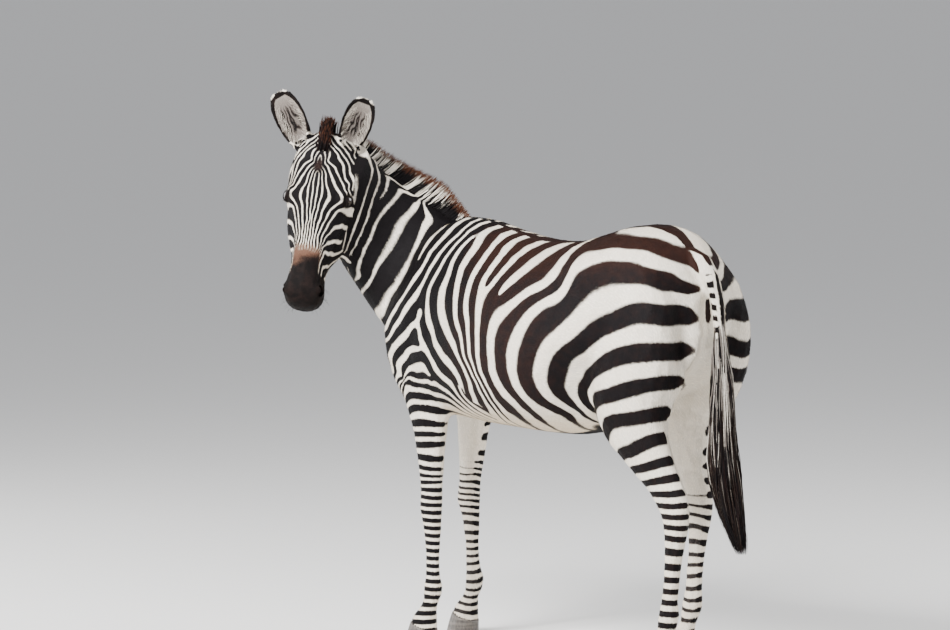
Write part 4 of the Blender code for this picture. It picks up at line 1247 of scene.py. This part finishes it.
def tufted(name, kind, pick, style, seed):
    rng = np.random.default_rng(seed)
    spacing, length, width = tuftShape[style]
    corners, weight = skinRoots(pick, spacing, rng)
    spots = mixed(skinPoints, corners, weight)
    keep = np.ones(len(spots), bool)
    if kind == "head":
        for side in sides:
            centre, gaze, slit, upper = eyeDirections(side)
            away = spots - centre
            bare = (almond(away @ slit, away @ upper) < 1.5) & (away @ gaze > 0)
            keep &= ~((np.linalg.norm(away, axis=1) < tuftShape["eyeBare"]) & bare)
            keep &= np.linalg.norm(spots - nostrilPlace(side), axis=1) > tuftShape["nostrilBare"]
    corners, weight, spots = corners[keep], weight[keep], spots[keep]
    out = unit(mixed(skinNormals, corners, weight))
    marks = {name: mixed(rows, corners, weight) for name, rows in skinMarks.items()}
    lay = layOf(spots, out, mixed(headShare, corners, weight))
    across = np.cross(out, lay)
    count = len(spots)
    swing = rng.normal(0, tuftShape["swing"], count)[:, None]
    lay, across = (lay * np.cos(swing) + across * np.sin(swing),
                   across * np.cos(swing) - lay * np.sin(swing))
    size = rng.uniform(0.75, 1.25, count)
    if kind == "head":
        down = headPlaces(spots)[0]
        size *= 1 - 0.40 * rise(down, 0.38, 0.44)
        for side in sides:
            far = np.linalg.norm(spots - middleOf("eye_" + side), axis=1)
            size *= 0.55 + 0.45 * rise(far, 0.028, 0.050)
    if kind == "leg":
        size *= 0.75 + 0.25 * rise(spots[:, 2], 0.3, 0.6)
        fetlock = np.exp(-((spots[:, 2] - 0.155) / 0.045) ** 2)
        size *= 1 + 1.3 * rise(out[:, 0], 0.4, 0.9) * fetlock
    long = (length * size)[:, None]
    wide = (width * rng.uniform(0.8, 1.2, count))[:, None]
    lift = rng.uniform(*tuftShape["lift"], count)[:, None] * long
    root = spots - out * 0.0004
    bend = spots + lay * long * 0.5 + out * (0.0005 + 0.45 * lift)
    tip = spots + lay * long + out * (0.0003 + 0.55 * lift)
    blade = np.stack([root - across * wide * 0.8, root + across * wide * 0.8,
                      bend - across * wide, bend + across * wide, tip], 1).reshape(-1, 3)
    first = np.arange(count)[:, None] * 5
    faces = np.concatenate([first + (0, 2, 3), first + (0, 3, 1), first + (2, 4, 3)])
    coat = meshObject(name, blade, faces)
    tone = np.clip(rng.normal(1, 0.09, count), 0.75, 1.2)[:, None] * (0.80, 0.80, 1.0, 1.0, 1.06)
    middle = coatMarks(spots + lay * long * 0.35, out)
    end = coatMarks(spots + lay * long * 0.70, out)
    for mark in middle:  # each hair takes its colour from where it lies
        marks[mark] = np.stack([marks[mark], marks[mark], middle[mark], middle[mark], end[mark]], 1).ravel()
    marks["hang"] = np.repeat(marks["hang"], 5)
    setValues(coat, {**marks, "shade": tone.ravel()})
    patch = np.array([(-1, -1), (1, -1), (-1, 0), (1, 0), (0, 1)]) * (tuftShape["patch"] / 2)
    setBakeMap(coat, (unrolled(kind, spots)[:, None] + patch).reshape(-1, 2))
    coat.data.materials.append(furCoat)
    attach(coat, "root")
    return len(faces)


def nostrilPlace(side):
    down, aside, out = nostril["rim"]
    return headPoint(down + nostril["pit"], aside * sides[side], out)


def locked(name, node, paths, aside, half, material, values, flat):  # three-sided locks that taper
    count, steps = paths.shape[:2]
    way = unit(np.gradient(paths, axis=1))
    wide = unit(aside[:, None] - way * (aside[:, None] * way).sum(2, keepdims=True))
    deep = np.cross(way, wide)
    taper = np.interp(np.linspace(0, 1, steps), [0, 0.25, 0.7, 1], [0.75, 1.0, 0.65, 0.0])
    rings = []
    for a, b in ((0, 1), (-1, -0.5), (1, -0.5)):
        around = (wide * a + deep * (0.55 * b))[:, :-1]
        rings.append(paths[:, :-1] + around * (half[:, None, None] * taper[None, :-1, None]))
    rings = np.stack(rings, 2).reshape(count, -1, 3)
    points = np.concatenate([rings, paths[:, -1:]], 1)
    per = points.shape[1]
    faces = [(0, 1, 2)]
    for i in range(steps - 2):
        for k in range(3):
            a, b = 3 * i + k, 3 * i + (k + 1) % 3
            faces += [(a, b + 3, b), (a, a + 3, b + 3)]
    last = 3 * (steps - 2)
    faces += [(last + k, per - 1, last + (k + 1) % 3) for k in range(3)]
    faces = (np.arange(count)[:, None, None] * per + np.array(faces)[None]).reshape(-1, 3)
    hair = meshObject(name, points.reshape(-1, 3), faces)
    share = np.concatenate([np.repeat(np.linspace(0, 1, steps)[:-1], 3), [1]])
    rows = {}
    for key, row in values.items():
        row = np.asarray(row, float)
        rows[key] = (row[:, None] * share if key == "tip" else np.repeat(row[:, None], per, 1)).ravel()
    rows["shade"] = rows["shade"] * np.tile(0.80 + 0.28 * share, count)
    setValues(hair, rows)
    turns = np.concatenate([np.tile((0.0, -0.5, 0.5), steps - 1), [0]])
    spots = flat[:, None] + np.stack([turns, share - 0.5], 1) * tuftShape["patch"]
    setBakeMap(hair, spots.reshape(-1, 2))
    hair.data.materials.append(material)
    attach(hair, "root")
    if node:
        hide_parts(node)
    return hair


def plainMarks(count, **changed):
    names = ("band", "edge", "warm", "cream", "soot", "ash", "snout", "hang")
    return {name: np.broadcast_to(changed.get(name, 0.0), count).astype(float) for name in names}


furCoat = coatMaterial("fur", 0.16, True)
maneHair = coatMaterial("maneHair", 0.16, True, "rust")
tailHair = coatMaterial("tailHair", 0.16, True, "tailEnd")
skin.data.calc_loop_triangles()
skinFaces = np.zeros(len(skin.data.loop_triangles) * 3, np.int32)
skin.data.loop_triangles.foreach_get("vertices", skinFaces)
skinFaces = skinFaces.reshape(-1, 3)
print("skin:", len(skinFaces), "triangles")
coatZones = {"legsTop": 0.72, "foreLegs": -0.20, "hindLegs": 0.40, "neck": -0.36}
middles = skinPoints[skinFaces].mean(1)
isHead = inHead(middles)
isLeg = middles[:, 2] < coatZones["legsTop"]
isLeg &= (middles[:, 0] < coatZones["foreLegs"]) | (middles[:, 0] > coatZones["hindLegs"])
isNeck = (straightened(middles)[0] < coatZones["neck"]) & ~isHead & ~isLeg
isTrunk = ~(isHead | isLeg | isNeck)
tuftCount = 0
for name, kind, pick, style, seed in (
        ("coat_trunk_left", "trunk", isTrunk & (middles[:, 1] < middleY), "body", 11),
        ("coat_trunk_right", "trunk", isTrunk & (middles[:, 1] >= middleY), "body", 12),
        ("coat_neck", "neck", isNeck, "neck", 13),
        ("coat_head", "head", isHead, "head", 14),
        ("coat_legs_fore", "leg", isLeg & (middles[:, 0] < 0.1), "leg", 15),
        ("coat_legs_hind", "leg", isLeg & (middles[:, 0] >= 0.1), "leg", 16)):
    tuftCount += tufted(name, kind, pick, style, seed)
print("coat:", tuftCount, "triangles")

skinTree = BVHTree.FromObject(skin, bpy.context.evaluated_depsgraph_get())


def onSkin(spot, way, far=0.2):  # the first point of the skin that way
    hit = skinTree.ray_cast(Vector(spot), Vector(way), far)[0]
    return None if hit is None else np.array(hit)


maneShape = {
    "locks": 3000,
    "rise": 0.092,
    "half": 0.0115,  # of the strip that it grows on
    "sweep": 0.012,  # how far the tips lean back
    "lock": 0.0019,
}


def crestLine():
    rows = curveThrough(neckRows, 6)[6:]
    ways = unit(np.gradient(rows[:, :3], axis=0))
    aside = unit(np.cross(ways, (0, 0, 1)))
    top = unit(np.cross(aside, ways))
    return rows[:, :3] + top * rows[:, 4:5], ways, aside, top


def maneRise(share):
    return maneShape["rise"] * np.minimum(1, 0.1 + 2 * share) * (1 - 0.35 * share ** 3)


def makeMane():
    rng = np.random.default_rng(21)
    crest, ways, sidesOf, tops = crestLine()
    places = np.linspace(0, 1, len(crest))
    along = (np.arange(maneShape["locks"]) + rng.uniform(0, 1, maneShape["locks"])) / maneShape["locks"]
    paths, roots, aside, width = [], [], [], []
    for share in along:
        spot, way, sideways, top = (np.array([np.interp(share, places, rows[:, i]) for i in range(3)])
                                    for rows in (crest, ways, sidesOf, tops))
        way, sideways, top = unit(way), unit(sideways), unit(top)
        lateral = rng.uniform(-1, 1)
        start = spot + sideways * (lateral * maneShape["half"])
        root = onSkin(start + top * 0.06, -top)
        if root is None:
            continue
        height = maneRise(share) * rng.uniform(0.80, 1.04) * (1 - 0.10 * lateral ** 2)
        end = spot + top * height + sideways * (lateral * 0.012 + rng.normal(0, 0.0035))
        end = end - way * (maneShape["sweep"] + rng.normal(0, 0.006))
        steps = np.linspace(0, 1, 6)[:, None]
        bow = (sideways * rng.normal(0, 0.002) - way * 0.002) * np.sin(steps * math.pi)
        paths.append(root - top * 0.004 + (end - root) * steps + bow)
        roots.append(root)
        aside.append(way)
        width.append(maneShape["lock"] * rng.uniform(0.7, 1.3))
    roots, aside = np.array(roots), np.array(aside)
    values = bodyMarks(roots, np.tile((0.0, 0.0, 1.0), (len(roots), 1)))[0]
    values["soot"] = np.zeros(len(roots))
    values["warm"] = np.full(len(roots), 0.1)
    values["hang"] = np.ones(len(roots))
    values["tip"] = rng.uniform(0.82, 1.04, len(roots))
    values["shade"] = np.clip(rng.normal(1, 0.10, len(roots)), 0.7, 1.25)
    return locked("mane_hair", "mane", np.array(paths), aside, np.array(width), maneHair, values,
                  unrolled("neck", roots))


forelockShape = {
    "locks": 700,
    "half": 0.016,
    "lock": 0.0013,
    "rows": [  # down the nose, out of the forehead, length
        (-0.024, -0.070, 0.050), (-0.016, -0.040, 0.060), (0.000, -0.014, 0.060),
        (0.022, 0.000, 0.046), (0.042, 0.006, 0.026)],
}


def makeForelock():
    rng = np.random.default_rng(22)
    top = unit(browWay * 0.30 - noseWay)
    paths, roots, width = [], [], []
    rows = np.array(forelockShape["rows"])
    for i in range(forelockShape["locks"]):
        share = rng.uniform(0, 1) ** 1.1 * 4
        down, out, height = (np.interp(share, range(5), rows[:, k]) for k in range(3))
        lateral = rng.normal(0, 0.42) * forelockShape["half"]
        start = headPoint(down, lateral, out)
        root = onSkin(start + top * 0.08, -top)
        if root is None:
            continue
        end = start + top * height * rng.uniform(0.72, 1.08)
        end = end + sideWay * (lateral * 0.2 + rng.normal(0, 0.005))
        end = end + browWay * rng.normal(0.004, 0.006)
        steps = np.linspace(0, 1, 6)[:, None]
        paths.append(root - top * 0.004 + (end - root) * steps + browWay * 0.004 * np.sin(steps * math.pi))
        roots.append(root)
        width.append(forelockShape["lock"] * rng.uniform(0.7, 1.3))
    count = len(roots)
    values = plainMarks(count, band=1.0, warm=rng.uniform(0.1, 0.7, count), hang=1.0)
    values["tip"] = rng.uniform(0.45, 1.05, count)
    values["shade"] = np.clip(rng.normal(0.85, 0.2, count), 0.5, 1.3)
    return locked("forelock_hair", "forelock", np.array(paths), np.tile(sideWay, (count, 1)),
                  np.array(width), maneHair, values, unrolled("head", np.array(roots)))


tailShape = {
    "locks": 1700,
    "lock": 0.0021,
    "rows": [  # x, y, z, half width across, half width ahead
        (0.722, 0.106, 1.060, 0.019, 0.020), (0.728, 0.106, 0.995, 0.020, 0.021),
        (0.732, 0.107, 0.920, 0.024, 0.026), (0.735, 0.109, 0.850, 0.027, 0.031),
        (0.732, 0.113, 0.750, 0.033, 0.038), (0.729, 0.118, 0.650, 0.038, 0.047),
        (0.734, 0.124, 0.560, 0.038, 0.052), (0.756, 0.128, 0.470, 0.030, 0.042),
        (0.780, 0.130, 0.400, 0.020, 0.028), (0.793, 0.131, 0.358, 0.012, 0.016)],
}


def makeTail():
    rng = np.random.default_rng(23)
    line = curveThrough(tailShape["rows"], 6)
    places = np.linspace(0, 1, len(line))
    steps = 10
    paths, aside, tips, bands, ashes, flats = [], [], [], [], [], []
    for i in range(tailShape["locks"]):
        start = rng.uniform(0, 1) ** 1.3 * 0.62
        end = min(1, start + rng.uniform(0.38, 0.75)) if rng.uniform() < 0.45 else rng.uniform(0.82, 1.0)
        end = max(end, start + 0.2)
        turn = rng.uniform(0, 2 * math.pi)
        reach = math.sqrt(rng.uniform(0.08, 1))
        share = np.linspace(start, end, steps)
        at = np.stack([np.interp(share, places, line[:, k]) for k in range(5)], 1)
        spread = 0.55 + (reach - 0.55) * rise(share, start, start + 0.25)
        drift = turn + rng.normal(0, 0.35) * (share - start) / 0.5
        path = at[:, :3].copy()
        path[:, 0] += at[:, 4] * np.cos(drift) * spread + 0.0035 * np.sin(share * 19 + turn * 3)
        path[:, 1] += at[:, 3] * np.sin(drift) * spread + 0.0035 * np.sin(share * 15 + turn * 5)
        paths.append(path)
        aside.append((-math.sin(turn), math.cos(turn), 0))
        pale = start < 0.30 and rng.uniform() < 0.55
        bands.append(-1.0 if pale else 1.0)
        ashes.append(rng.uniform(0.4, 1.0) if pale else 0.0)
        tips.append(rng.uniform(0.9, 1.9) if pale else 0.3)
        flats.append((start, turn / 6.3))
    count = len(paths)
    values = plainMarks(count, band=np.array(bands), ash=np.array(ashes),
                        warm=rng.uniform(0, 0.6, count), hang=1.0)
    values["tip"] = np.array(tips)
    values["shade"] = np.clip(rng.normal(1, 0.15, count), 0.6, 1.35)
    width = tailShape["lock"] * rng.uniform(0.6, 1.3, count)
    return locked("tail_locks", "tail_hair", np.array(paths), np.array(aside), width, tailHair, values,
                  np.array(flats))


fineShape = {  # half widths and counts
    "lashes": 0.00035,
    "lashCount": 30,
    "whiskers": 0.0003,
    "whiskerCount": 70,
    "earHair": (0.0003, 0.0006),
    "earHairCount": 230,
}


def bladed(name, hairs, half, values):  # fine hairs: start, direction, length, and how each bends
    starts, ways, lengths, bend = (np.array(rows) for rows in zip(*hairs))
    steps = np.linspace(0, 1, 5)[None, :, None]
    paths = starts[:, None] + ways[:, None] * (lengths[:, None, None] * steps)
    paths = paths + bend[:, None] * (lengths[:, None, None] * steps ** 2)
    aside = np.cross(ways, (0.3, 0.2, 0.9))
    values["shade"] = np.ones(len(starts))
    values["tip"] = np.zeros(len(starts))
    return locked(name, None, paths, aside, half, furCoat, values, unrolled("head", starts))


def makeFineHairs():
    rng = np.random.default_rng(24)
    hairs = []
    for side in sides:  # lashes of the upper lid
        centre, gaze, slit, upper = eyeDirections(side)
        for across in np.linspace(-0.9, 0.9, fineShape["lashCount"]):
            height = eyeShape["halfHeight"] * math.sqrt(1 - across ** 2) * 1.12
            spot = slit * (across * eyeShape["halfWidth"]) + upper * height
            spot = spot + gaze * math.sqrt(max((eyeShape["radius"] + 0.002) ** 2 - spot @ spot, 0))
            way = unit(gaze * 0.9 + upper * 0.25 + slit * (0.5 * across + rng.normal(0, 0.08)))
            hairs.append((centre + spot, way, rng.uniform(0.008, 0.012), upper * 0.25 + noseWay * 0.15))
    count = len(hairs)
    bladed("lashes", hairs, np.full(count, fineShape["lashes"]), plainMarks(count, band=1.0, soot=1.0))
    hairs = []
    while len(hairs) < fineShape["whiskerCount"]:  # whiskers of the lips and chin
        down, turn = rng.uniform(0.435, 0.515), rng.uniform(0.8, 5.5)
        way = browWay * math.cos(turn) + sideWay * math.sin(turn) + noseWay * 0.4
        spot = onSkin(headPoint(down - 0.02, 0, -0.075) + way * 0.12, -way)
        if spot is None or math.cos(turn) > 0.3:
            continue
        strayed = unit(way + rng.normal(0, 0.15, 3))
        hairs.append((spot - way * 0.002, strayed, rng.uniform(0.012, 0.030), np.array((0, 0, -0.35))))
    count = len(hairs)
    bladed("whiskers", hairs, np.full(count, fineShape["whiskers"]), plainMarks(count, band=1.0, soot=1.0))
    hairs = []
    for side in sides:  # pale hair across the mouths of the ears
        root, axis, face, length = earDirections(side)
        across, rows = np.cross(axis, face), np.array(earShape["rows"])[:6]
        for i in range(fineShape["earHairCount"]):
            tall, hand = rng.uniform(0.10, 0.78), rng.choice((-1, 1))
            half = np.interp(tall, rows[:, 0], rows[:, 1])
            start = root + axis * (tall * length) + across * (hand * half * rng.uniform(0.55, 0.95))
            spot = onSkin(start + face * 0.05, -face, 0.09)
            if spot is None:
                continue
            way = axis * rng.uniform(0.5, 1.0) - across * (hand * rng.uniform(0.2, 0.7)) + face * 0.30
            reach = rng.uniform(0.012, 0.030) * (1 - 0.5 * tall)
            hairs.append((spot - face * 0.001, unit(way), reach, -face * 0.12))
    count = len(hairs)
    bladed("ear_hair", hairs, rng.uniform(*fineShape["earHair"], count),
           plainMarks(count, band=-1.0, edge=1.0, cream=0.3, ash=rng.uniform(0.0, 0.5, count)))


makeMane()
makeForelock()
makeTail()
makeFineHairs()
print("mane, forelock, tail and fine hairs")


# camera, light and floor
cameraSpot = {"turn": 49, "rise": 4.5, "away": 17.0, "aim": (-0.1122, -0.0749, 0.992), "lens": 222.25}
studioLook = {
    "lights": {  # place, size, power
        "key": ((0.6, -4.4, 4.4), 2.2, 980),
        "fill": ((-4.5, -2.0, 2.2), 3.5, 190),
        "back": ((2.5, 3.8, 3.4), 3.0, 260),
    },
    "sky": (0.93, 0.95, 1.0, 1),
    "skyPower": 0.62,
    "floor": (0.78, 0.77, 0.75),
    "floorHalf": 300,
}


def studio():
    turn, lift = math.radians(cameraSpot["turn"]), math.radians(cameraSpot["rise"])
    aim = Vector(cameraSpot["aim"])
    way = Vector((math.sin(turn) * math.cos(lift), -math.cos(turn) * math.cos(lift), math.sin(lift)))
    camera = bpy.data.objects.new("camera", bpy.data.cameras.new("camera"))
    camera.location = aim + way * cameraSpot["away"]
    camera.rotation_euler = (-way).to_track_quat("-Z", "Y").to_euler()
    camera.data.lens = cameraSpot["lens"]
    camera.data.sensor_width = 36
    camera.data.clip_end = 600
    bpy.context.scene.collection.objects.link(camera)
    bpy.context.scene.camera = camera
    for name, (place, size, power) in studioLook["lights"].items():
        light = bpy.data.objects.new(name, bpy.data.lights.new(name, "AREA"))
        light.data.energy = power
        light.data.size = size
        light.location = place
        light.rotation_euler = (Vector(place) - Vector((0, 0.1, 0.8))).to_track_quat("Z", "Y").to_euler()
        bpy.context.scene.collection.objects.link(light)
    world = bpy.data.worlds.new("studio")
    world.use_nodes = True
    sky = world.node_tree.nodes["Background"]
    sky.inputs["Color"].default_value = studioLook["sky"]
    sky.inputs["Strength"].default_value = studioLook["skyPower"]
    bpy.context.scene.world = world
    half = studioLook["floorHalf"]
    corners = [(-half, -half, 0), (half, -half, 0), (half, half, 0), (-half, half, 0)]
    floor = meshObject("floor", corners, [(0, 1, 2, 3)])
    floor.data.materials.append(Graph("floor").finish(Base_Color=studioLook["floor"], Roughness=0.85))


studio()
print("finished")
